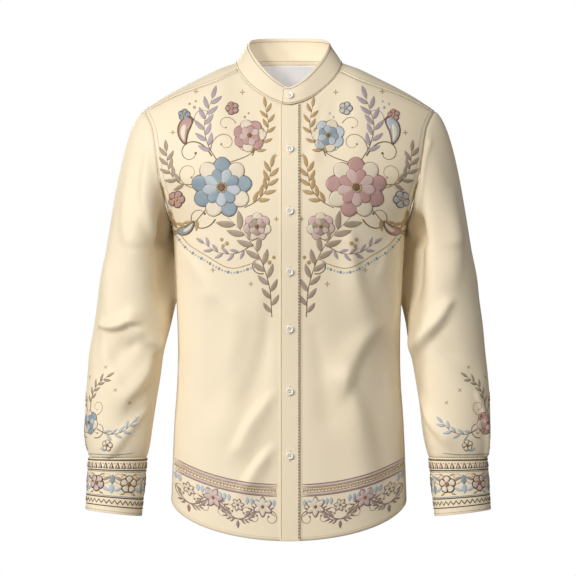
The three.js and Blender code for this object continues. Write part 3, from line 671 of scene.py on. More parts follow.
def yoke_ends(neck, corner, seam):
    """The ends of the yoke's columns, round the neckline and along the front seam, and the
    share of the back seam where each starts."""
    x, turn, low = [], [], []
    for i in range(neck):
        x.append(NECK_HALF * math.sin(i / neck * math.pi / 2))
        turn.append(float(turn_at(1, x[-1], neck_back(x[-1]))))
        low.append(BEHIND_NECK * i / neck)
    for i in range(corner):
        t = i / corner
        x.append(mix(NECK_HALF, CORNER, t**2))
        turn.append(float(turn_at(-1, x[-1], mix(crest(NECK_HALF), front_seam(CORNER), t))))
        low.append(mix(BEHIND_NECK, BEHIND_CORNER, t))
    for i in range(seam + 1):
        x.append(mix(CORNER, FRONT_END, i / seam))
        turn.append(float(turn_at(-1, x[-1], front_seam(x[-1]))))
        low.append(mix(BEHIND_CORNER, 1, i / seam))
    return np.array(x), np.array(turn), np.array(low)


def yoke_grid(neck, corner, seam, rows):
    x, turn, low = yoke_ends(neck, corner, seam)
    low_x = low * BACK_END
    low_turn = turn_at(1, low_x, BACK_SEAM)
    t = np.linspace(0, 1, rows + 1)[None, :]
    turns = mix(low_turn[:, None], turn[:, None], t)
    xs = mix(low_x[:, None], x[:, None], t)
    for _ in range(12):
        edge = shoulder_point(xs[-1], turns[-1])[:, 2]
        xs[-1] = np.where(turns[-1] < 0, armhole_edge(-1, edge), armhole_edge(1, edge))
    half = shoulder_point(xs, turns)
    return np.concatenate([half[:0:-1] * [-1, 1, 1], half])


def make_back_and_yoke():
    back_x = np.linspace(0, BACK_END, 62)
    halves = [panel(1, back_x, np.full_like(back_x, BACK_SEAM), hand, 108, 46) for hand in (-1, 1)]
    back = np.concatenate([halves[0][:0:-1], halves[1]])
    normals = away_from(facing(back), back, np.array([0, 0, -400]))
    shaped = tucked(back, normals, [(0, 0), (0, 1), (1, 1)])
    piece = cloth("back_cloth", shaped, shaped - normals * WALL, SATEEN)
    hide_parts("back")

    yoke = yoke_grid(24, 10, 44, 40)
    normals = away_from(facing(yoke), yoke, np.array([0, 0, -200]))
    shaped = yoke + normals * 0.25
    piece = cloth("yoke_cloth", shaped, shaped - normals * WALL, SATEEN)
    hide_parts("yoke")

    inner = yoke[3:-3, 2:-2]
    facing_in = normals[3:-3, 2:-2]
    top = inner - facing_in * 1.7
    piece = cloth("yoke_lining_cloth", top, top - facing_in * 0.6, LAWN)
    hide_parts("yoke_lining")
    return yoke


make_fronts()
YOKE = make_back_and_yoke()

# ---------------------------------------------------------------- sleeves and cuffs


def armhole_loop():
    """The armhole's edge on the wearer's left, from the underarm up the front and down the back,
    and the length at which it passes the shoulder's tip."""
    up = np.linspace(ARMPIT, front_seam(FRONT_END), 90)
    front = body_point(-1, armhole_edge(-1, up), up)
    over = YOKE[-1][::-1]
    down = np.linspace(BACK_SEAM, ARMPIT, 90)
    back = body_point(1, armhole_edge(1, down), down)
    front[0, 1] = back[-1, 1] = 0
    loop = np.concatenate([front, over[1:], back[1:]])
    far = lengths(loop[:, None], 0)[:, 0]
    tip = far[len(front) + int(np.argmin(np.abs(over[1:, 1])))]
    return loop, far, tip


def sleeve_ring(hand, angle, z, more=0.0):
    """A point of the sleeve at an angle from its front towards its outside, at a height."""
    side = "left" if hand > 0 else "right"
    round_ = np.where(angle < -90, angle + 360, angle)
    push = folded(SLEEVE_FOLDS[side], round_, z) + more
    turn = np.radians(angle)
    x = along(ARM, "z", z, side) + (along(ARM, "z", z, "half") + push) * np.sin(turn)
    y = along(ARM, "z", z, "y") - (along(ARM, "z", z, "deep") + push) * np.cos(turn)
    return points(x, y, z)


def sleeve_grid(hand, around, cap_rows, arm_rows):
    """The sleeve's outer grid as on the wearer's left, from the armhole down to the cuff."""
    loop, far, tip = armhole_loop()
    angle = -90 + 360 * np.arange(around) / around
    at = np.where(angle <= 90, (angle + 90) / 180 * tip, tip + (angle - 90) / 180 * (far[-1] - tip))
    start = np.stack([np.interp(at, far, loop[:, k]) for k in range(3)], -1)
    top = ARM["z"][-1]
    end = sleeve_ring(hand, angle, np.full_like(angle, top))
    chord = np.linalg.norm(end - start, axis=-1)
    leave = points(along(CAP, "angle", angle, "out"), along(CAP, "angle", angle, "ahead"), 0.0)
    leave[:, 2] = -along(CAP, "angle", angle, "down")
    leave *= chord[:, None]
    arrive = np.array([ARM_SLANT, 0, -1]) * chord[:, None]
    t = (np.arange(cap_rows) / cap_rows) ** 1.15
    t = t[None, :, None]
    s = 1 - t
    cap = start[:, None] * s * s * (1 + 2 * t) + leave[:, None] * t * s * s
    cap = cap + end[:, None] * t * t * (1 + 2 * s) - arrive[:, None] * t * t * s
    z = np.linspace(top, ARM["z"][0], arm_rows + 1)[None, :]
    arm = sleeve_ring(hand, angle[:, None], z)
    return np.concatenate([cap, arm], axis=1), angle


def cap_folds(grid, normals, hand, angle):
    """Folds across the sleeve's head, which the rings' own table doesn't reach."""
    side = "left" if hand > 0 else "right"
    top = ARM["z"][-1]
    push = folded(SLEEVE_FOLDS[side], angle[:, None], grid[..., 2])
    share = smooth((grid[..., 2] - top) / 20)
    far = lengths(grid, 1)
    return grid + normals * (push * share * smooth(far / 30))[..., None]


def cuff_grid(hand, columns, rows, start=CUFF_OPENING, sweep=360 + CUFF_LAP):
    side = "left" if hand > 0 else "right"
    angle = start + sweep * np.arange(columns + 1) / columns
    turn = np.radians(angle)[:, None]
    t = np.linspace(0, 1, rows + 1)[None, :]
    over = smooth((angle - CUFF_OPENING - 300) / 52)[:, None]
    out = PROUD + LAP * over
    middle, half, deep, y0 = (ARM[k][0] for k in (side, "half", "deep", "y"))
    x = middle + CUFF_SHIFT[side] * t + (half + out - CUFF_NARROW * t) * np.sin(turn)
    y = y0 - CUFF_FORWARD * t - (deep + out - CUFF_NARROW * t) * np.cos(turn)
    z = mix(CUFF_TOP, CUFF_BOTTOM + CUFF_SLOPE * np.sin(turn), t)
    return points(x, y, z)


def mirrored(grid):
    return grid * [-1, 1, 1]


def make_sleeves():
    made = {}
    for name, hand in (("left", 1), ("right", -1)):
        flip = mirrored if hand < 0 else (lambda grid: grid)
        grid, angle = sleeve_grid(hand, 112, 64, 112)
        normals = away_from(facing(grid, True), grid, grid.mean(axis=0, keepdims=True))
        grid = cap_folds(grid, normals, hand, angle)
        shaped = tucked(grid, normals, [(1, 0), (1, 1)], deep=0.9, wide=3)
        outer, inner = flip(shaped), flip(shaped - normals * WALL)
        piece = cloth(f"sleeve_{name}_cloth", outer, inner, SATEEN, tube=True)
        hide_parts(f"sleeve_{name}")

        cuff = cuff_grid(hand, 96, 24)
        centre = cuff.mean(axis=0, keepdims=True)
        cuff_normals = away_from(facing(cuff), cuff, centre)
        outer, inner = flip(cuff), flip(cuff - cuff_normals * DOUBLE)
        piece = cloth(f"cuff_{name}_cloth", outer, inner, SATEEN, edge=0.6)
        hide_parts(f"cuff_{name}")

        opening = CUFF_OPENING
        strip_angle = np.linspace(opening - 12, opening + 9, 9)
        strip_z = np.linspace(-532, -629, 34)
        strip = sleeve_ring(hand, strip_angle[:, None], strip_z[None, :], 1.0)
        peak = 1 - np.abs(strip_angle - strip_angle.mean()) / 10.5
        fall = smooth(1 - (np.arange(34) / 7.0))[None, :]
        strip[..., 2] -= 14 * (1 - peak)[:, None] * fall
        strip_normals = away_from(facing(strip), strip, centre.mean(axis=1, keepdims=True) + [0, 0, 60])
        outer, inner = flip(strip + strip_normals * 1.2), flip(strip - strip_normals * 0.6)
        piece = cloth(f"sleeve_placket_{name}_cloth", outer, inner, SATEEN, edge=0.4)
        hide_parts(f"sleeve_placket_{name}")
        made[name] = (flip(grid), flip(cuff), flip(cuff_normals), flip(strip), flip(normals))
    return made


SLEEVES = make_sleeves()

# ---------------------------------------------------------------- placket and collar


def make_placket():
    x = np.linspace(PLACKET_FROM, PLACKET_TO, 15)
    top = neck_front(x) - 3
    z = mix(hem_at(x)[:, None], top[:, None], np.linspace(0, 1, 190)[None, :])
    grid = body_point(-1, x[:, None], z)
    normals = away_from(facing(grid), grid, np.array([0, 0, -400]))
    # cotton sewn tight along two lines puckers very slightly between the buttons
    pucker = 0.16 * np.sin(z / 5.3 + np.sin(z / 17.0)) * (np.abs(x - PLACKET_MIDDLE)[:, None] / 15) ** 2
    outer = grid + normals * (LIFT + DOUBLE + pucker)[..., None]
    piece = cloth("placket_cloth", outer, grid + normals * LIFT, SATEEN, edge=0.6)
    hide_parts("placket")


def collar_path(count):
    """The collar's stations round the neck: x and side of the neckline, and how far the strip
    laps outwards."""
    front = np.linspace(COLLAR_UNDER, 0, 4)[:-1]
    arc = np.linspace(0, 1, count)
    half = NECK_HALF * np.sin(arc * math.pi / 2)
    x = [*front, *(-half), *(-half[::-1][1:-1]), *half, *half[::-1][1:], *np.linspace(0, COLLAR_OVER, 6)[1:]]
    side = [-1] * (3 + count) + [1] * (count - 2) + [1] * count + [-1] * (count - 1) + [-1] * 5
    x = np.array(x)
    side = np.array(side)
    last = np.arange(len(x)) > len(x) // 2
    lap = np.where(last & (side < 0), smooth((60 - x) / 42), 0) * LAP
    return x, side, lap


def make_collar():
    x, side, lap = collar_path(30)
    share = np.abs(x) / NECK_HALF
    base = np.where(
        side[:, None] < 0,
        body_point(-1, x, neck_front(x)),
        body_point(1, x, neck_back(x)),
    )
    top_z = mix(
        COLLAR_SIDE,
        np.where(side < 0, COLLAR_LOW, COLLAR_HIGH),
        np.where(side < 0, superellipse(share, COLLAR_FRONT_ROUND), superellipse(share, COLLAR_BACK_ROUND)),
    )
    top = points(
        x * COLLAR_HALF / NECK_HALF,
        np.where(side < 0, COLLAR_FRONT, COLLAR_BACK) * superellipse(share, 2.0),
        top_z,
    )
    out = base * [1, 1, 0]
    out /= np.linalg.norm(out, axis=1, keepdims=True)
    base = base + out * (PROUD + lap)[:, None]
    base[:, 2] += 0.4
    top = top + out * lap[:, None]
    # the front corner of the outer end is rounded
    end = smooth(1 - (x - COLLAR_OVER) / 9) * (np.arange(len(x)) > len(x) // 2) * (side < 0)
    top[:, 2] -= 7 * end**2
    t = np.linspace(0, 1, 15)[None, :, None]
    swell = np.sin(np.pi * t) * 0.8
    grid = mix(base[:, None], top[:, None], t) + out[:, None] * swell
    normals = away_from(facing(grid), grid, np.array([0, -10, 0]))
    piece = cloth("collar_cloth", grid, grid - normals * DOUBLE, SATEEN, edge=0.7)
    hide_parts("collar_band")
    return grid, normals


make_placket()
COLLAR, COLLAR_NORMALS = make_collar()

# ---------------------------------------------------------------- surfaces to sew on


def border_z(x):
    """The top line of the hem's border."""
    return -668 + 42 * (np.abs(x) / 188) ** 2.3


def vine_z(x):
    """The middle of the hem's running vine."""
    return (border_z(x) - 20 + hem_at(x) + 8) / 2


def cuff_point(side, s, d):
    """The cuff's outer face as on the wearer's left: s millimetres round it from its front, d down it."""
    angle = 360 + s / CUFF_DEGREE
    t = d / (CUFF_TOP - CUFF_BOTTOM)
    out = PROUD + LAP * smooth((angle - CUFF_OPENING - 300) / 52)
    turn = np.radians(angle)
    middle, half, deep, y0 = (ARM[k][0] for k in (side, "half", "deep", "y"))
    x = middle + CUFF_SHIFT[side] * t + (half + out - CUFF_NARROW * t) * np.sin(turn)
    y = y0 - CUFF_FORWARD * t - (deep + out - CUFF_NARROW * t) * np.cos(turn)
    return points(x, y, mix(CUFF_TOP, CUFF_BOTTOM + CUFF_SLOPE * np.sin(turn), t))


def arm_point(side, s, z):
    """The sleeve's outer face: s millimetres round it from its front towards the outside."""
    return sleeve_ring(1 if side == "left" else -1, s / SLEEVE_DEGREE, z)


CUFF_DEGREE, SLEEVE_DEGREE = 0.75, 0.93  # millimetres round for each degree
SURFACES = {
    "front": (lambda u, v: body_point(-1, u, v), 1),
    "front_right": (lambda u, v: body_point(-1, -u, v), -1),
    "placket": (lambda u, v: body_point(-1, u, v) - [0, LIFT + DOUBLE, 0], 1),
    "back": (lambda u, v: body_point(1, u, v), -1),
    "hem_front": (lambda u, v: body_point(-1, u, border_z(u) + v), 1),
    "hem_front_right": (lambda u, v: body_point(-1, -u, border_z(u) + v), -1),
    "hem_back": (lambda u, v: body_point(1, u, border_z(u) + v), -1),
    "vine_front": (lambda u, v: body_point(-1, u, vine_z(u) + v), 1),
    "vine_front_right": (lambda u, v: body_point(-1, -u, vine_z(u) + v), -1),
    "vine_back": (lambda u, v: body_point(1, u, vine_z(u) + v), -1),
    "cuff_left": (lambda u, v: cuff_point("left", u, -v), 1),
    "cuff_right": (lambda u, v: mirrored(cuff_point("right", u, -v)), -1),
    "arm_left": (lambda u, v: arm_point("left", u, v), 1),
    "arm_right": (lambda u, v: mirrored(arm_point("right", u, v)), -1),
}


def laid_on(surface, uv, lift):
    """Points and normals of places on a surface, lifted off it."""
    at, sign = SURFACES[surface]
    u, v, step = uv[..., 0], uv[..., 1], 0.8
    p = at(u, v)
    n = np.cross(at(u + step, v) - at(u - step, v), at(u, v + step) - at(u, v - step))
    n *= sign / np.maximum(np.linalg.norm(n, axis=-1, keepdims=True), 1e-9)
    return p + n * np.asarray(lift)[..., None]


# ---------------------------------------------------------------- embroidery


def through(*places, step=2.2):
    """A smooth path through places."""
    places = np.array(places, float)
    far = np.concatenate([[0], np.cumsum(np.linalg.norm(np.diff(places, axis=0), axis=1))])
    at = np.linspace(0, far[-1], max(3, int(far[-1] / step) + 1))
    return np.stack([along({"k": far, "c": places[:, i]}, "k", at, "c") for i in (0, 1)], -1)


def bent(start, heading, length, bend, bend_end=None, step=2.2):
    """A path that turns by bend degrees for each millimetre at its start and bend_end at its end."""
    s = np.linspace(0, length, max(4, int(length / step) + 1))
    change = (bend if bend_end is None else bend_end) - bend
    turn = np.radians(heading + bend * s + change * s**2 / (2 * length))
    middle = (turn[1:] + turn[:-1]) / 2
    steps = np.diff(s)[:, None] * np.stack([np.cos(middle), np.sin(middle)], -1)
    return np.concatenate([[start], np.asarray(start) + np.cumsum(steps, axis=0)])


SHAPES = {
    "even": lambda t: np.minimum(1, 0.45 + 8 * np.minimum(t, 1 - t)),
    "taper": lambda t: 1 - 0.7 * t,
    "leaf": lambda t: 0.06 + 0.94 * np.sin(math.pi * t**0.85) ** 0.8,
    "petal": lambda t: 0.1 + 0.9 * np.sin(math.pi * (0.03 + 0.95 * t) ** 1.7) ** 0.75,
    "spike": lambda t: 1 - 0.9 * t,
    "round": lambda t: 0.3 + 0.7 * np.sqrt(np.maximum(0, 1 - (2 * t - 1) ** 2)),
    "drop": lambda t: 0.08 + 0.92 * np.sin(math.pi * (1 - (1 - t) ** 0.62)) ** 0.75 * (1 - 0.25 * t),
}


class Art:
    """Satin-stitched strokes, each a path with a width, a shape and a thread colour."""

    def __init__(self):
        self.strokes = []

    def stroke(self, path, width, colour, shape="even", layer=0):
        t = np.linspace(0, 1, len(path))
        self.strokes.append((path, width * SHAPES[shape](t), colour, layer))

    def leaf(self, base, heading, length, width, colour, bend=0.0, vein=None, layer=0):
        path = bent(base, heading, length, bend / length)
        self.stroke(path, width, colour, "leaf", layer)
        if vein:
            self.stroke(path[: max(3, int(len(path) * 0.8))], 0.7, vein, "taper", layer + 2)

    def sprig(self, path, count, size, colour, stem, vein=None, first=0.12, last=1.0, grow=1.0, open_=48):
        self.stroke(path, 1.6, stem, "taper")
        way = np.gradient(path, axis=0)
        for i, t in enumerate(np.linspace(first, last, count)):
            k = t * (len(path) - 1)
            j = min(int(k), len(path) - 2)
            base = mix(path[j], path[j + 1], k - j)
            heading = math.degrees(math.atan2(way[j][1], way[j][0]))
            side = 1 if i % 2 else -1
            if i == count - 1 and last == 1.0:
                side = 0
            length = size * mix(1, grow, t)
            self.leaf(base, heading + side * open_, length, length * 0.35, colour, -side * 22, vein)

    def dot(self, centre, radius, colour, layer=0):
        x, y = centre
        path = through((x, y - radius), (x, y + radius), step=radius / 3)
        self.stroke(path, 2 * radius, colour, "round", layer)

    def curl(self, start, heading, length, bend, bend_end, width, colour, knob=0.0, shape="taper"):
        path = bent(start, heading, length, bend, bend_end, 1.8)
        self.stroke(path, width, colour, shape)
        if knob:
            self.dot(path[-1], knob, colour)
        return path

    def bloom(self, centre, radius, petals, light, dark, edge, heart, turn=0.0):
        """A layered flower: two rings of outlined petals round a heart of knots."""
        centre = np.asarray(centre, float)
        rings = ((0.08, 1.0, light, "cream"), (0.06, 0.62, dark, light))
        for ring, (start, end, *colours) in enumerate(rings):
            for i in range(petals):
                a = turn + 360 / petals * (i + 0.5 * ring)
                way = np.array([math.cos(math.radians(a)), math.sin(math.radians(a))])
                across = np.array([-way[1], way[0]])
                width = 2 * math.pi * radius * end / petals * 0.84
                path = centre + way * (radius * np.linspace(start, end, 14))[:, None]
                half = width * SHAPES["petal"](np.linspace(0, 1, len(path)))[:, None] / 2
                self.stroke(path, width, colours[i % 2], "petal", 2 * ring)
                for s in (-1, 1):
                    self.stroke(path + across * half * s, 0.9, edge, "even", 2 * ring + 1)
                tip = path[-1] + across * half[-1] * np.linspace(-1, 1, 5)[:, None]
                self.stroke(tip, 0.9, edge, "even", 2 * ring + 1)
                if radius > 30:
                    for s in (-0.42, 0, 0.42):
                        self.stroke(path[4:12] + across * half[4:12] * s, 0.6, edge, "taper", 2 * ring + 1)
        for i in range(12):
            a = math.radians(30 * i)
            self.dot(centre + radius * 0.15 * np.array([math.cos(a), math.sin(a)]), radius * 0.038, heart, 6)
        self.dot(centre, radius * 0.11, edge, 6)

    def five(self, centre, radius, colour, edge, heart, turn=0.0):
        """A plain flower of five rounded petals."""
        centre = np.asarray(centre, float)
        for i in range(5):
            a = math.radians(turn + 72 * i)
            way = np.array([math.cos(a), math.sin(a)])
            path = centre + way * (radius * np.linspace(0.16, 1, 9))[:, None]
            self.stroke(path, radius * 0.98, edge, "petal", 0)
            inner = centre + way * (radius * np.linspace(0.2, 0.9, 9))[:, None]
            self.stroke(inner, radius * 0.8, colour, "petal", 1)
            self.stroke(inner[:4], 0.7, edge, "taper", 3)
        self.dot(centre, radius * 0.2, heart, 4)

    def lily(self, centre, radius, colour, edge, heart, turn=0.0):
        """A flower of six pointed petals with a line in each."""
        centre = np.asarray(centre, float)
        for i in range(6):
            a = math.radians(turn + 60 * i)
            way = np.array([math.cos(a), math.sin(a)])
            path = centre + way * (radius * np.linspace(0.05, 1, 10))[:, None]
            self.stroke(path, radius * 0.66, edge, "leaf", 0)
            self.stroke(path[:-1], radius * 0.5, colour, "leaf", 1)
            self.stroke(path[1:5], 1.1, heart, "taper", 3)
        self.dot(centre, radius * 0.15, heart, 4)

    def feathers(self, path, side, count, size, colour, first=0.08, last=0.6):
        """Small leaves that fan out from one side of a path."""
        way = np.gradient(path, axis=0)
        for t in np.linspace(first, last, count):
            j = int(t * (len(path) - 1))
            heading = math.degrees(math.atan2(way[j][1], way[j][0]))
            self.leaf(path[j], heading + side * 50, size * (1 - 0.5 * t), size * 0.3, colour, -side * 24)

    def paisley(self, base, heading, size, fill, edge, inner):
        """The traditional drop with a curled tip."""
        spine = bent(base, heading, size, 30 / size, 190 / size, size / 16)
        self.stroke(spine, size * 0.5, edge, "drop", 0)
        self.stroke(spine[1:-1], size * 0.42, fill, "drop", 1)
        self.stroke(spine[2:-5], size * 0.2, inner, "drop", 3)
        for i in range(9):
            j = 1 + i
            way = spine[j + 1] - spine[j]
            way = way / np.linalg.norm(way)
            across = np.array([-way[1], way[0]])
            for s in (-1, 1):
                self.dot(spine[j] + across * s * size * 0.17 * SHAPES["drop"](j / 16), 0.8, edge, 3)


def sew(name, slot, *arts):
    """One mesh of satin stitches from pairs of art and surface."""
    verts, uvs, faces, shades = [], [], [], []
    colours = sorted(THREADS)
    count = 0
    for art, surface in arts:
        for path, width, colour, layer in art.strokes:
            across = 7 if width.max() > 5 else 5
            way = np.gradient(path, axis=0)
            way /= np.maximum(np.linalg.norm(way, axis=1, keepdims=True), 1e-9)
            c = np.sin(np.linspace(-1, 1, across) * math.pi / 2)
            reach = width[:, None] / 2 * c
            places = path[:, None] + np.stack([-way[:, 1:] * reach, way[:, :1] * reach], -1)
            flat = 2 if width.max() < 6 else 5
            high = np.minimum(0.8, 0.3 + 0.12 * width)[:, None] * np.sqrt(1 - 0.96 * np.abs(c) ** flat)
            lift = np.where(np.abs(c) > 0.99, -0.15, 0.05) + high + 0.22 * layer
            verts.append(laid_on(surface, places, lift).reshape(-1, 3))
            far = np.concatenate([[0], np.cumsum(np.linalg.norm(np.diff(path, axis=0), axis=1))])
            uvs.append(np.stack([reach, np.broadcast_to(far[:, None], reach.shape)], -1).reshape(-1, 2))
            i, j = np.meshgrid(np.arange(len(path) - 1), np.arange(across), indexing="ij")
            a = count + i * across + j
            b = count + i * across + (j + 1) % across
            quads = np.stack([a, b, b + across, a + across], -1).reshape(-1, 4)
            faces += quads.tolist()
            faces.append(list(range(count + across - 1, count - 1, -1)))
            faces.append(list(range(count + (len(path) - 1) * across, count + len(path) * across)))
            shades += [colours.index(colour)] * (len(quads) + 2)
            count += len(path) * across
    piece = new_piece(name, np.concatenate(verts), faces, THREADS[colours[0]], np.concatenate(uvs))
    for colour in colours[1:]:
        piece.data.materials.append(THREADS[colour])
    piece.data.polygons.foreach_set("material_index", shades)
    shell = bmesh.new()
    shell.from_mesh(piece.data)
    bmesh.ops.recalc_face_normals(shell, faces=shell.faces)
    shell.to_mesh(piece.data)
    shell.free()
    return piece


def chest_art(main, main_dark, other, other_dark, leafy):
    """One side of the chest, with x outwards from the placket: a large bloom on a curved stem, a
    smaller one above it, a paisley, leaf sprays and a trailing vine."""
    art = Art()
    stem = through((27, -404), (31, -356), (48, -306), (72, -272), (98, -246))
    art.sprig(stem, 15, 20, "taupe", "brown", "brown", 0.04, 0.9, 1.6)
    for leaves, size, colour, first, *places in (
        (11, 22, leafy, 0.2, (112, -160), (128, -132), (134, -100), (122, -58)),
        (11, 17, "gold", 0.3, (92, -160), (66, -150), (44, -132), (33, -104), (37, -72)),
        (10, 19, "taupe", 0.2, (150, -196), (174, -192), (190, -172), (194, -142)),
        (9, 18, "gold", 0.25, (132, -236), (154, -258), (178, -262), (194, -246)),
        (10, 20, "gold", 0.2, (70, -232), (52, -222), (35, -202), (28, -168)),
        (9, 16, leafy, 0.2, (56, -290), (84, -304), (112, -302), (134, -288)),
    ):
        art.sprig(through(*places), leaves, size, colour, "brown", "brown", first)
    art.curl((122, -150), 60, 100, -0.4, -6.2, 2.6, "brown", 2.0)
    art.curl((124, -140), 100, 80, 0.8, 7.6, 2.2, "taupe", 1.8)
    art.curl((152, -200), 10, 80, 1.5, 6.6, 2.2, "gold", 1.8)
    art.curl((116, -250), -60, 84, 1.6, 5.6, 2.4, "brown", 1.9)
    art.curl((62, -285), 170, 66, -2.2, -8.0, 2.0, "taupe", 1.6)
    art.curl((40, -336), -10, 62, 3.0, 8.6, 2.0, "brown", 1.6)
    art.curl((58, -150), 120, 66, -2.0, -7.6, 2.0, "brown", 1.6)
    art.curl((136, -108), 20, 72, 2.2, 6.6, 2.0, leafy, 1.6)
    art.curl((84, -98), 60, 46, -2.0, -9.0, 1.8, "taupe", 1.4)
    art.paisley((163, -132), 66, 50, other, "brown", "cream")
    art.paisley((150, -252), -66, 36, main, "brown", "cream")
    art.bloom((106, -200), 48, 9, main, main_dark, "brown", "gold", 11)
    art.bloom((62, -118), 26, 7, other, other_dark, "brown", "gold", 20)
    art.bloom((50, -262), 22, 7, "blush", "taupe", "brown", "gold", 40)
    art.five((178, -218), 14, other, "brown", "gold", 40)
    art.five((90, -74), 11, other, "brown", "gold", 70)
    art.five((166, -84), 10, main, "brown", "gold", 25)
    berries = ((31, -318, 3.4), (24, -310, 2.8), (38, -312, 3.0), (98, -288, 3.2), (106, -282, 2.8))
    for x, z, r in (*berries, (104, -292, 2.8)):
        art.dot((x, z), r, "gold")
    for x, z, r in ((150, -72, 2.4), (158, -66, 2.0), (148, -62, 1.8), (70, -88, 2.0), (64, -82, 1.7)):
        art.dot((x, z), r, other)
    swag = through((50, -324), (92, -334), (134, -314), (168, -290), (198, -240), step=5.2)
    for k, (x, z) in enumerate(swag):
        art.dot((x, z), 1.7 if k % 3 else 2.3, "sky" if k % 3 else "slate")
    art.stroke(through((52, -318), (92, -327), (131, -307), (163, -285), (192, -238)), 1.5, "gold")
    sparks = ((184, -112), (202, -200), (148, -46), (22, -150), (20, -250), (120, -330), (74, -48))
    for x, z in (*sparks, (60, -352)):
        for a in range(4):
            art.leaf((x, z), 90 * a, 4.6, 1.8, "gold")
    return art


def hem_art(start, end):
    """The border's straight bands between two places along the hem."""
    art = Art()
    x = np.arange(start, end, 2.2)

    def line(h, width, colour, layer=0):
        art.stroke(np.stack([x, x * 0 + h], -1), width, colour, "even", layer)

    for h, width, colour in (
        (0, 1.9, "plum"),
        (-3.2, 3.8, "blush"),
        (-5.9, 0.9, "brown"),
        (-13.3, 0.9, "brown"),
        (-15.9, 3.6, "blush"),
        (-18.6, 1.7, "plum"),
    ):
        line(h, width, colour)
    for s in np.arange(start + 3, end - 2, 5.4):
        art.leaf((s, -12.4), 90, 5.6, 3.2, "gold")
        art.leaf((s + 2.7, -6.8), -90, 4.0, 1.8, "plum")
    return art


def vine_art(start, end):
    """The running scroll: a wave with volutes, feathered leaves, and flowers on a pale ground."""
    art = Art()
    wave, high = 78.0, 10.0
    x = np.arange(start, end, 2.0)
    path = np.stack([x, high * np.sin((x - start) / wave * 2 * math.pi)], -1)
    art.stroke(path, 2.2, "plum")
    for k in range(int((end - start) / (wave / 2)) + 1):
        s = start + wave / 4 + k * wave / 2
        up = 1 if k % 2 == 0 else -1
        base = np.array([s, up * high])
        for side in (-1, 1):
            ahead = 0 if side > 0 else 180
            turn = side * up
            roll = art.curl(base, ahead + turn * 8, 56, -turn * 1.0, -turn * 10.5, 2.0, "plum", 1.7)
            art.feathers(roll, turn, 5, 10, "plum", 0.1, 0.5)
            outer = base + [side * 19, -up * 4]
            art.leaf(outer, ahead - turn * 58, 15, 4.6, "taupe", turn * 26, "brown")
        if up > 0:
            for n in range(8):
                art.leaf(base + [-24.5 + 7 * n, 17], -90, 12, 6.4, "sky")
            art.lily(base + [0, 4], 17, "blush" if k % 4 else "cream", "plum", "rust", 90 + 11 * k)
        else:
            art.lily(base + [0, 22], 11, "cream", "plum", "rust", 30 + 17 * k)
            art.leaf(base + [0, -2], -90, 13, 5.4, "plum", 0, "cream")
    # what would run past either end is left out
    kept = []
    for stroke in art.strokes:
        across = stroke[0][:, 0]
        if across.min() > start - 3 and across.max() < end + 3:
            kept.append(stroke)
    art.strokes = kept
    return art


def cuff_art(start, end):
    """The cuff's bands: triangles, a row of flowers and leaves between lines, and a zigzag."""
    art = Art()
    s = np.arange(start, end, 2.0)

    def line(d, width, colour):
        art.stroke(np.stack([s, s * 0 - d], -1), width, colour)

    for d, width in ((19.5, 2.0), (62.5, 2.0), (76.5, 1.8), (3.6, 2.2)):
        line(d, width, "umber")
    line(21.8, 1.2, "slate")
    line(60.2, 1.2, "slate")
    pitch, low, high = 9.0, 16.5, 7.0
    for x in np.arange(start + pitch / 2, end - pitch / 2, pitch):
        outside = np.array([[x, -low], [x, -mix(low, high, 0.5)], [x, -high]])
        art.stroke(outside, 8.0, "brown", "spike")
        inside = np.array([[x, -low + 0.6], [x, -mix(low, high, 0.4)], [x, -high - 3]])
        art.stroke(inside, 4.2, "cream", "spike", 2)
        art.dot((x + pitch / 2, -8.6), 1.1, "gold")
    zig = []
    for k, x in enumerate(np.arange(start + 2, end - 2, 4.2)):
        zig.append((x, -66.4 if k % 2 else -72.8))
    zig = np.array(zig)
    dense = np.concatenate([np.linspace(zig[i], zig[i + 1], 4)[:-1] for i in range(len(zig) - 1)])
    art.stroke(dense, 1.5, "umber")
    for x in np.arange(start + 2 + 8.4, end - 4, 8.4):
        art.dot((x, -71.2), 0.9, "gold")
    step = 46.0
    count = int((end - start) // step)
    step = (end - start) / count
    for k in range(count):
        x = start + step * (k + 0.5)
        art.five((x, -41), 14.0, "blush" if k % 2 else "cream", "umber", "rust", 90 + 180 * (k % 2))
        for side in (-1, 1):
            heading = 0 if side > 0 else 180
            art.curl((x + side * 12, -41), heading, 34, side * 3.5, side * 12, 1.4, "gold", 1.1)
            art.leaf((x + side * 11, -36), heading + side * 40, 14, 5.4, "taupe", -side * 30, "umber")
            art.leaf((x + side * 11, -46), heading - side * 40, 14, 5.4, "sky", side * 30, "slate")
            art.leaf((x + side * step / 2, -41), 90 * side, 15, 8.4, "sky" if k % 2 else "slate", 0, "umber")
            art.leaf((x + side * 5, -27.5), heading + side * 20, 9, 3.2, "gold")
            art.leaf((x + side * 5, -54.5), heading - side * 20, 9, 3.2, "gold")
    return art


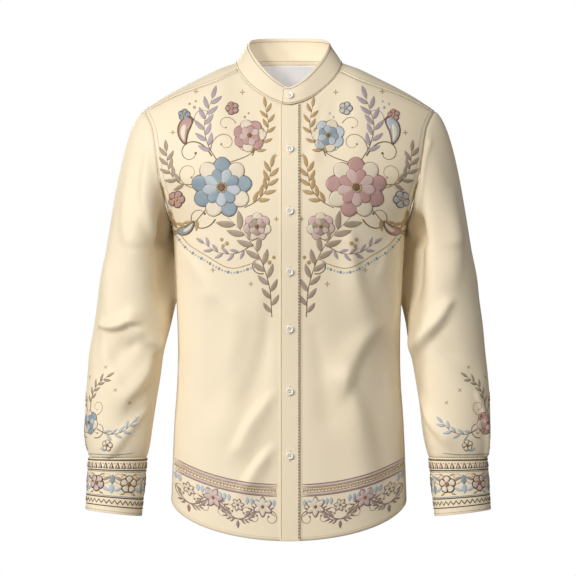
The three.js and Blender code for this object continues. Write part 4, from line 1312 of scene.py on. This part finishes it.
def arm_art(main, main_dark):
    """A flower spray above the cuff, on the outside of the sleeve."""
    art = Art()
    art.bloom((52, -572), 19, 6, main, main_dark, "brown", "gold", 15)
    art.sprig(through((52, -553), (50, -532), (40, -512), (24, -500)), 9, 14, "taupe", "brown", "brown", 0.2)
    art.sprig(through((60, -555), (70, -538), (84, -528)), 6, 12, "gold", "brown", None, 0.25)
    art.sprig(through((34, -582), (14, -590), (-8, -586), (-22, -572)), 9, 14, "sky", "brown", "slate", 0.2)
    art.sprig(through((70, -584), (88, -592), (106, -586)), 6, 13, "taupe", "brown", None, 0.25)
    art.curl((40, -596), 190, 62, -3.0, -9.0, 1.7, "brown", 1.3)
    art.curl((62, -596), -10, 60, 3.0, 9.0, 1.7, "brown", 1.3)
    art.curl((36, -560), 160, 48, -3.0, -11.0, 1.5, "gold", 1.1)
    art.five((16, -608), 9.5, "cream", "brown", "rust", 30)
    art.five((84, -608), 9.5, "cream", "brown", "rust", 75)
    art.leaf((30, -612), 200, 12, 5, "sky", 20, "slate")
    art.leaf((68, -612), -20, 12, 5, "sky", -20, "slate")
    for x, z in ((28, -484), (62, -500), (8, -520), (96, -510), (-14, -540)):
        for a in range(4):
            art.leaf((x, z), 90 * a + 45, 3.6, 1.3, "gold")
    art.stroke(through((-30, -620), (0, -622.5), (50, -622), (100, -622.5), (118, -620)), 1.4, "slate")
    return art


def buttonhole_art():
    """Upright buttonholes, each two satin bars closed by a short bar at both ends."""
    art = Art()
    for z in FRONT_BUTTONS[1:]:
        for side in (-1, 1):
            x = PLACKET_MIDDLE + side * 1.1
            art.stroke(np.array([[x, z - 8], [x, z - 4], [x, z], [x, z + 4], [x, z + 8]]), 1.3, "cream")
            bar = np.array([[-2, 8 * side], [0, 8 * side], [2, 8 * side]]) + [PLACKET_MIDDLE, z]
            art.stroke(bar, 1.3, "cream", layer=1)
    return art


def embroider():
    blue = chest_art("slate", "sky", "rose", "blush", "mauve")
    pink = chest_art("rose", "blush", "sky", "slate", "mauve")
    sew("chest_embroidery_right", "cotton_sateen", (blue, "front_right"))
    sew("chest_embroidery_left", "cotton_sateen", (pink, "front"))
    sew(
        "hem_embroidery_front_left",
        "cotton_sateen",
        (hem_art(20, 184), "hem_front"),
        (vine_art(22, 178), "vine_front"),
    )
    sew(
        "hem_embroidery_front_right",
        "cotton_sateen",
        (hem_art(19, 184), "hem_front_right"),
        (vine_art(22, 178), "vine_front_right"),
    )
    sew(
        "hem_embroidery_back",
        "cotton_sateen",
        (hem_art(-184, 184), "hem_back"),
        (vine_art(-180, 180), "vine_back"),
    )
    sew("buttonholes", "cotton_sateen", (buttonhole_art(), "placket"))
    for side, (main, dark) in (("left", ("rose", "blush")), ("right", ("slate", "sky"))):
        sew(f"cuff_embroidery_{side}", "cotton_sateen", (cuff_art(-150, 108), f"cuff_{side}"))
        sew(f"sleeve_embroidery_{side}", "cotton_sateen", (arm_art(main, dark), f"arm_{side}"))


embroider()

# ---------------------------------------------------------------- stitches


def running_stitch():
    """A node tree that lays a row of stitches along each line of a mesh."""
    tree = bpy.data.node_groups.new("running_stitch", "GeometryNodeTree")
    face = tree.interface
    face.new_socket("Geometry", in_out="INPUT", socket_type="NodeSocketGeometry")
    for name in ("Pitch", "Length", "Thick"):
        face.new_socket(name, in_out="INPUT", socket_type="NodeSocketFloat")
    face.new_socket("Thread", in_out="INPUT", socket_type="NodeSocketMaterial")
    face.new_socket("Geometry", in_out="OUTPUT", socket_type="NodeSocketGeometry")
    given = node(tree, "NodeGroupInput").outputs
    curve = node(tree, "GeometryNodeMeshToCurve", {}, [("Mesh", given["Geometry"])])
    spaced = node(
        tree,
        "GeometryNodeResampleCurve",
        {},
        [("Curve", curve.outputs["Curve"]), ("Length", given["Pitch"])],
        mode="LENGTH",
    )
    ball = node(tree, "GeometryNodeMeshUVSphere", {"Segments": 6, "Rings": 4, "Radius": 0.5})
    size = node(
        tree,
        "ShaderNodeCombineXYZ",
        {},
        [("X", given["Length"]), ("Y", given["Thick"]), ("Z", given["Thick"])],
    )
    way = node(tree, "GeometryNodeInputTangent")
    turn = node(tree, "FunctionNodeAlignRotationToVector", {}, [("Vector", way.outputs["Tangent"])], axis="X")
    laid = node(
        tree,
        "GeometryNodeInstanceOnPoints",
        {},
        [
            ("Points", spaced.outputs["Curve"]),
            ("Instance", ball.outputs["Mesh"]),
            ("Rotation", turn.outputs["Rotation"]),
            ("Scale", size.outputs["Vector"]),
        ],
    )
    real = node(tree, "GeometryNodeRealizeInstances", {}, [("Geometry", laid.outputs["Instances"])])
    smooth_ = node(tree, "GeometryNodeSetShadeSmooth", {}, [("Geometry", real.outputs["Geometry"])])
    done = node(
        tree,
        "GeometryNodeSetMaterial",
        {},
        [("Geometry", smooth_.outputs["Geometry"]), ("Material", given["Thread"])],
    )
    node(tree, "NodeGroupOutput", {}, [("Geometry", done.outputs["Geometry"])])
    return tree


STITCH_TREE = running_stitch()


def stitches(name, lines, pitch, length, thick, thread):
    """One mesh of sewn stitches along lines of points in millimetres."""
    mesh = bpy.data.meshes.new(name)
    edges, count = [], 0
    for line in lines:
        edges += [(count + i, count + i + 1) for i in range(len(line) - 1)]
        count += len(line)
    mesh.from_pydata((np.concatenate(lines) * MM).tolist(), edges, [])
    piece = bpy.data.objects.new(name, mesh)
    bpy.context.scene.collection.objects.link(piece)
    made = piece.modifiers.new("stitches", "NODES")
    made.node_group = STITCH_TREE
    values = {"Pitch": pitch * MM, "Length": length * MM, "Thick": thick * MM, "Thread": thread}
    for item in STITCH_TREE.interface.items_tree:
        if item.in_out == "INPUT" and item.name in values:
            made[item.identifier] = values[item.name]
    graph = bpy.context.evaluated_depsgraph_get()
    plain = bpy.data.meshes.new_from_object(piece.evaluated_get(graph))
    piece.modifiers.clear()
    piece.data = plain
    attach(piece, BODY)
    return piece


def line_on(surface, u, v, lift=0.3):
    u, v = np.broadcast_arrays(np.asarray(u, float), np.asarray(v, float))
    return laid_on(surface, np.stack([u, v], -1), np.full(u.shape, lift))


def yoke_line(x, turn, lift=0.35):
    """A line on the yoke, lifted off it."""
    p = shoulder_point(x, turn)
    a = shoulder_point(x + 0.5, turn) - shoulder_point(x - 0.5, turn)
    b = shoulder_point(x, turn + 0.01) - shoulder_point(x, turn - 0.01)
    n = np.cross(a, b)
    n /= np.linalg.norm(n, axis=1, keepdims=True)
    n *= np.where(n[:, 2:] < 0, -1, 1)
    return p + n * (lift + 0.25)


def armhole_rows(hand, inset):
    """A row of stitches round an armhole, on the body's side, from the front over the yoke."""
    z = np.linspace(ARMPIT + 8, front_seam(FRONT_END) - 1.5, 60)
    front = line_on("front", armhole_edge(-1, z) - inset, z)
    top = YOKE[-1][::-1]
    x = top[:, 0] - inset * 0.98
    turns = np.where(
        top[:, 1] < 0, turn_at(-1, top[:, 0], top[:, 2]), turn_at(1, top[:, 0], top[:, 2])
    )
    over = yoke_line(x, turns)
    z = np.linspace(BACK_SEAM - 2, ARMPIT + 8, 60)
    back = line_on("back", armhole_edge(1, z) - inset, z)
    lines = [front, over, back]
    return [line * [hand, 1, 1] for line in lines]


def offset_rows(grid, normals, rows, lift):
    """Rows along a grid's second axis at shares of it, lifted off the cloth."""
    lines = []
    count = grid.shape[1] - 1
    for t in rows:
        j = min(int(t * count), count - 1)
        k = t * count - j
        lines.append(mix(grid[:, j], grid[:, j + 1], k) + mix(normals[:, j], normals[:, j + 1], k) * lift)
    return lines


def sew_seams():
    z = np.linspace(hem_at(0) + 6, neck_front(15) - 6, 300)
    strong = line_on("front", PLACKET_TO - 1.6, z, LIFT + DOUBLE + 0.2)
    stitches("placket_stitch_dark", [strong], 4.8, 3.8, 1.8, DARK_SEWING)
    fine = line_on("front", PLACKET_FROM + 2.2, z, LIFT + DOUBLE + 0.15)
    stitches("placket_stitch_fine", [fine], 3.8, 2.7, 1.0, BROWN_SEWING)

    shares = (0.07, 0.88)  # of the collar's height
    lines = offset_rows(COLLAR, COLLAR_NORMALS, shares, 0.2)
    inset = COLLAR[-1, 1:-2] + (COLLAR[-4, 1:-2] - COLLAR[-1, 1:-2]) * 0.3 + COLLAR_NORMALS[-2, 1:-2] * 0.3
    stitches("collar_stitch", [line[2:-1] for line in lines] + [inset], 3.6, 2.7, 1.15, DARK_SEWING)
    lines = offset_rows(COLLAR, COLLAR_NORMALS, shares, -DOUBLE - 0.15)
    stitches("collar_stitch_inside", [line[2:-1] for line in lines], 3.6, 2.7, 1.0, BROWN_SEWING)

    rows = []
    for hand in (1, -1):
        x = np.linspace(CORNER + 2, FRONT_END - 1.5, 60)
        rows.append(yoke_line(x, turn_at(-1, x, front_seam(x) + 2.4)) * [hand, 1, 1])
        for inset in (2.2, 8.0):
            rows += armhole_rows(hand, inset)
    x = np.linspace(-BACK_END + 2, BACK_END - 2, 160)
    rows.append(yoke_line(x, turn_at(1, x, BACK_SEAM + 2.4)))
    stitches("seam_stitch", rows, 3.2, 2.2, 0.62, BROWN_SEWING)

    rows = []
    for side, sign in (("left", 1), ("right", -1)):
        s = np.linspace(-150, 106, 120)
        for d in (2.0, 84.2):
            rows.append(line_on(f"cuff_{side}", s, -d, 0.25))
        for s in (-150.0, 107.0):
            if s > 0:
                rows.append(line_on(f"cuff_{side}", s, np.linspace(-4, -83, 20), 0.25))
    stitches("cuff_stitch", rows, 3.2, 2.2, 0.75, BROWN_SEWING)

    rows = []
    for side, sign in (("left", 1), ("right", -1)):
        strip = SLEEVES[side][3]
        out = away_from(facing(strip), strip, np.array([sign * ARM[side][0], -20.0, -570.0]))
        rows += [strip[k, 1:-1] + out[k, 1:-1] * 1.4 for k in (1, -2)]
    stitches("sleeve_placket_stitch", rows, 3.2, 2.2, 0.75, BROWN_SEWING)

    x = np.linspace(-186, 186, 260)
    rows = [line_on("back", x, hem_at(x) + 5.5, 0.2)]
    rows.append(line_on("front", x[x < -16], hem_at(x[x < -16]) + 5.5, 0.2))
    rows.append(line_on("front", x[x > 19], hem_at(x[x > 19]) + 5.5, 0.2))
    stitches("hem_stitch", rows, 3.2, 2.2, 0.6, PALE_SEWING)


sew_seams()

# ---------------------------------------------------------------- buttons


def button_mesh():
    """A four-hole button about 11 mm across, turned from a profile, with a rim and a dish."""
    dish = ((0, 1.9), (2.6, 1.9), (3.5, 2.1), (4.2, 2.75))
    rim = ((4.9, 2.85), (5.4, 2.4), (5.6, 1.7), (5.2, 0.8))
    profile = (*dish, *rim, (3.6, 0.1), (0, 0))
    sides = 40
    shell = bmesh.new()
    rings = []
    for r, h in profile:
        if r == 0:
            rings.append([shell.verts.new((0, 0, h * MM))])
        else:
            ring = []
            for k in range(sides):
                a = 2 * math.pi * k / sides
                ring.append(shell.verts.new((r * math.cos(a) * MM, r * math.sin(a) * MM, h * MM)))
            rings.append(ring)
    for low, high in zip(rings, rings[1:]):
        for k in range(sides):
            n = (k + 1) % sides
            if len(low) == 1:
                shell.faces.new((low[0], high[k], high[n]))
            elif len(high) == 1:
                shell.faces.new((low[k], high[0], low[n]))
            else:
                shell.faces.new((low[k], high[k], high[n], low[n]))
    bmesh.ops.recalc_face_normals(shell, faces=shell.faces)
    mesh = bpy.data.meshes.new("button")
    shell.to_mesh(mesh)
    shell.free()
    button = bpy.data.objects.new("button", mesh)
    bpy.context.scene.collection.objects.link(button)
    drill = bmesh.new()
    for x, y in ((1.4, 1.4), (-1.4, 1.4), (1.4, -1.4), (-1.4, -1.4)):
        made = bmesh.ops.create_cone(
            drill, cap_ends=True, segments=12, radius1=0.75 * MM, radius2=0.75 * MM, depth=8 * MM
        )
        bmesh.ops.translate(drill, verts=made["verts"], vec=(x * MM, y * MM, 0))
    cutter_mesh = bpy.data.meshes.new("holes")
    drill.to_mesh(cutter_mesh)
    drill.free()
    cutter = bpy.data.objects.new("holes", cutter_mesh)
    bpy.context.scene.collection.objects.link(cutter)
    cut = button.modifiers.new("holes", "BOOLEAN")
    cut.object, cut.solver = cutter, "EXACT"
    graph = bpy.context.evaluated_depsgraph_get()
    plain = bpy.data.meshes.new_from_object(button.evaluated_get(graph))
    for spare in (button, cutter):
        bpy.data.objects.remove(spare)
    thread = bmesh.new()
    thread.from_mesh(plain)
    shell_faces = len(thread.faces)
    for y in (1.4, -1.4):
        made = bmesh.ops.create_uvsphere(thread, u_segments=8, v_segments=6, radius=MM)
        bmesh.ops.scale(thread, verts=made["verts"], vec=(1.9, 0.5, 0.4))
        bmesh.ops.translate(thread, verts=made["verts"], vec=(0, y * MM, 2.05 * MM))
    bmesh.ops.create_cone(
        thread, cap_ends=True, segments=12, radius1=1.6 * MM, radius2=1.4 * MM, depth=1.6 * MM
    )
    thread.faces.ensure_lookup_table()
    for k, face in enumerate(thread.faces):
        face.smooth = True
        face.material_index = 0 if k < shell_faces else 1
    whole = bpy.data.meshes.new("button")
    thread.to_mesh(whole)
    thread.free()
    return whole


def make_buttons():
    shape = button_mesh()
    shape.materials.append(RESIN)
    shape.materials.append(PALE_SEWING)
    names = [f"button_{n}" for n in range(1, 8)]
    names += [f"cuff_button_{side}_{n}" for side in ("left", "right") for n in (1, 2)]
    for name in names:
        low, high = (np.array(corner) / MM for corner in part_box(name))
        middle = (low + high) / 2
        if name.startswith("cuff"):
            side = "left" if "left" in name else "right"
            sign = 1 if side == "left" else -1
            axis = np.array([sign * ARM[side][0] + sign * CUFF_SHIFT[side] / 2, ARM["y"][0] - 4, middle[2]])
            normal = middle - axis
            normal[2] = 0
        else:
            u = np.array([PLACKET_MIDDLE])
            z = np.array([min(middle[2], -70)])
            step = body_point(-1, u, z + 2)[0] - body_point(-1, u, z - 2)[0]
            normal = np.cross([1, 0, 0], step)
            if name == "button_1":
                normal = COLLAR_NORMALS[-3, 7]
        normal = normal / np.linalg.norm(normal)
        button = bpy.data.objects.new(name + "_detailed", shape.copy())
        bpy.context.scene.collection.objects.link(button)
        turn = Vector(normal).to_track_quat("Z", "Y").to_matrix().to_4x4()
        turn.translation = Vector((middle - normal * 1.1) * MM)
        button.data.transform(turn)
        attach(button, BODY)
        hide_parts(name)


make_buttons()

# ---------------------------------------------------------------- camera, floor and light


def sheet_light(name, at, size, power, colour, to=(0, 0, -0.36)):
    light = bpy.data.lights.new(name, "AREA")
    light.shape, light.size, light.energy = "SQUARE", size, power
    light.color = linear(colour)[:3]
    lamp = bpy.data.objects.new(name, light)
    lamp.location = at
    lamp.rotation_euler = (Vector(to) - Vector(at)).to_track_quat("-Z", "Y").to_euler()
    lamp.visible_camera = False
    bpy.context.scene.collection.objects.link(lamp)


def make_studio():
    scene = bpy.context.scene
    camera = bpy.data.objects.new("camera", bpy.data.cameras.new("camera"))
    camera.data.lens, camera.data.sensor_width = 280, 36
    camera.data.clip_end = 100
    camera.location = (-0.0016, -7.168, -0.3584)
    camera.rotation_euler = (math.pi / 2, 0, 0)
    scene.collection.objects.link(camera)
    scene.camera = camera

    floor = bmesh.new()
    bmesh.ops.create_circle(floor, cap_ends=True, radius=2.5, segments=64)
    bmesh.ops.translate(floor, verts=floor.verts, vec=(0, 0, -1.0))
    mesh = bpy.data.meshes.new("floor")
    floor.to_mesh(mesh)
    floor.free()
    stage = bpy.data.objects.new("floor", mesh)
    scene.collection.objects.link(stage)
    pale, _, bsdf = material("matt_pale_floor", 0.9)
    bsdf.inputs["Base Color"].default_value = linear("#8f8d89")
    mesh.materials.append(pale)

    world = bpy.data.worlds.new("studio")
    scene.world = world
    world.use_nodes = True
    tree = world.node_tree
    seen = node(tree, "ShaderNodeLightPath")
    strength = node(
        tree,
        "ShaderNodeMapRange",
        {"To Min": 0.05, "To Max": 1.0},
        [("Value", seen.outputs["Is Camera Ray"])],
    )
    back = tree.nodes["Background"]
    back.inputs["Color"].default_value = (1, 1, 1, 1)
    tree.links.new(strength.outputs["Result"], back.inputs["Strength"])

    sheet_light("key_from_the_left", (-4.4, -2.7, 1.3), 0.9, 105, "#fffdf8")
    sheet_light("fill_from_the_front", (-2.8, -4.3, 1.6), 1.1, 172, "#fffdf8")
    sheet_light("fill_from_the_right", (3.2, -4.3, 1.5), 1.1, 33, "#fffdf8")
    sheet_light("along_the_right_sleeve", (4.6, -1.7, 1.1), 0.9, 30, "#fffdf8")
    sheet_light("from_behind", (-2.2, 4.8, 1.4), 1.2, 90, "#fffdf8")
    sheet_light("top", (0.0, -0.9, 3.0), 0.8, 12, "#ffffff")
    # thin cloth lets light through, so the inside of the neck is never dark
    sheet_light("through_the_cloth", (0.0, -0.03, -0.075), 0.05, 0.062, "#fffefa", (0, 0.09, 0.02))
    scene.view_settings.view_transform = "Standard"


make_studio()
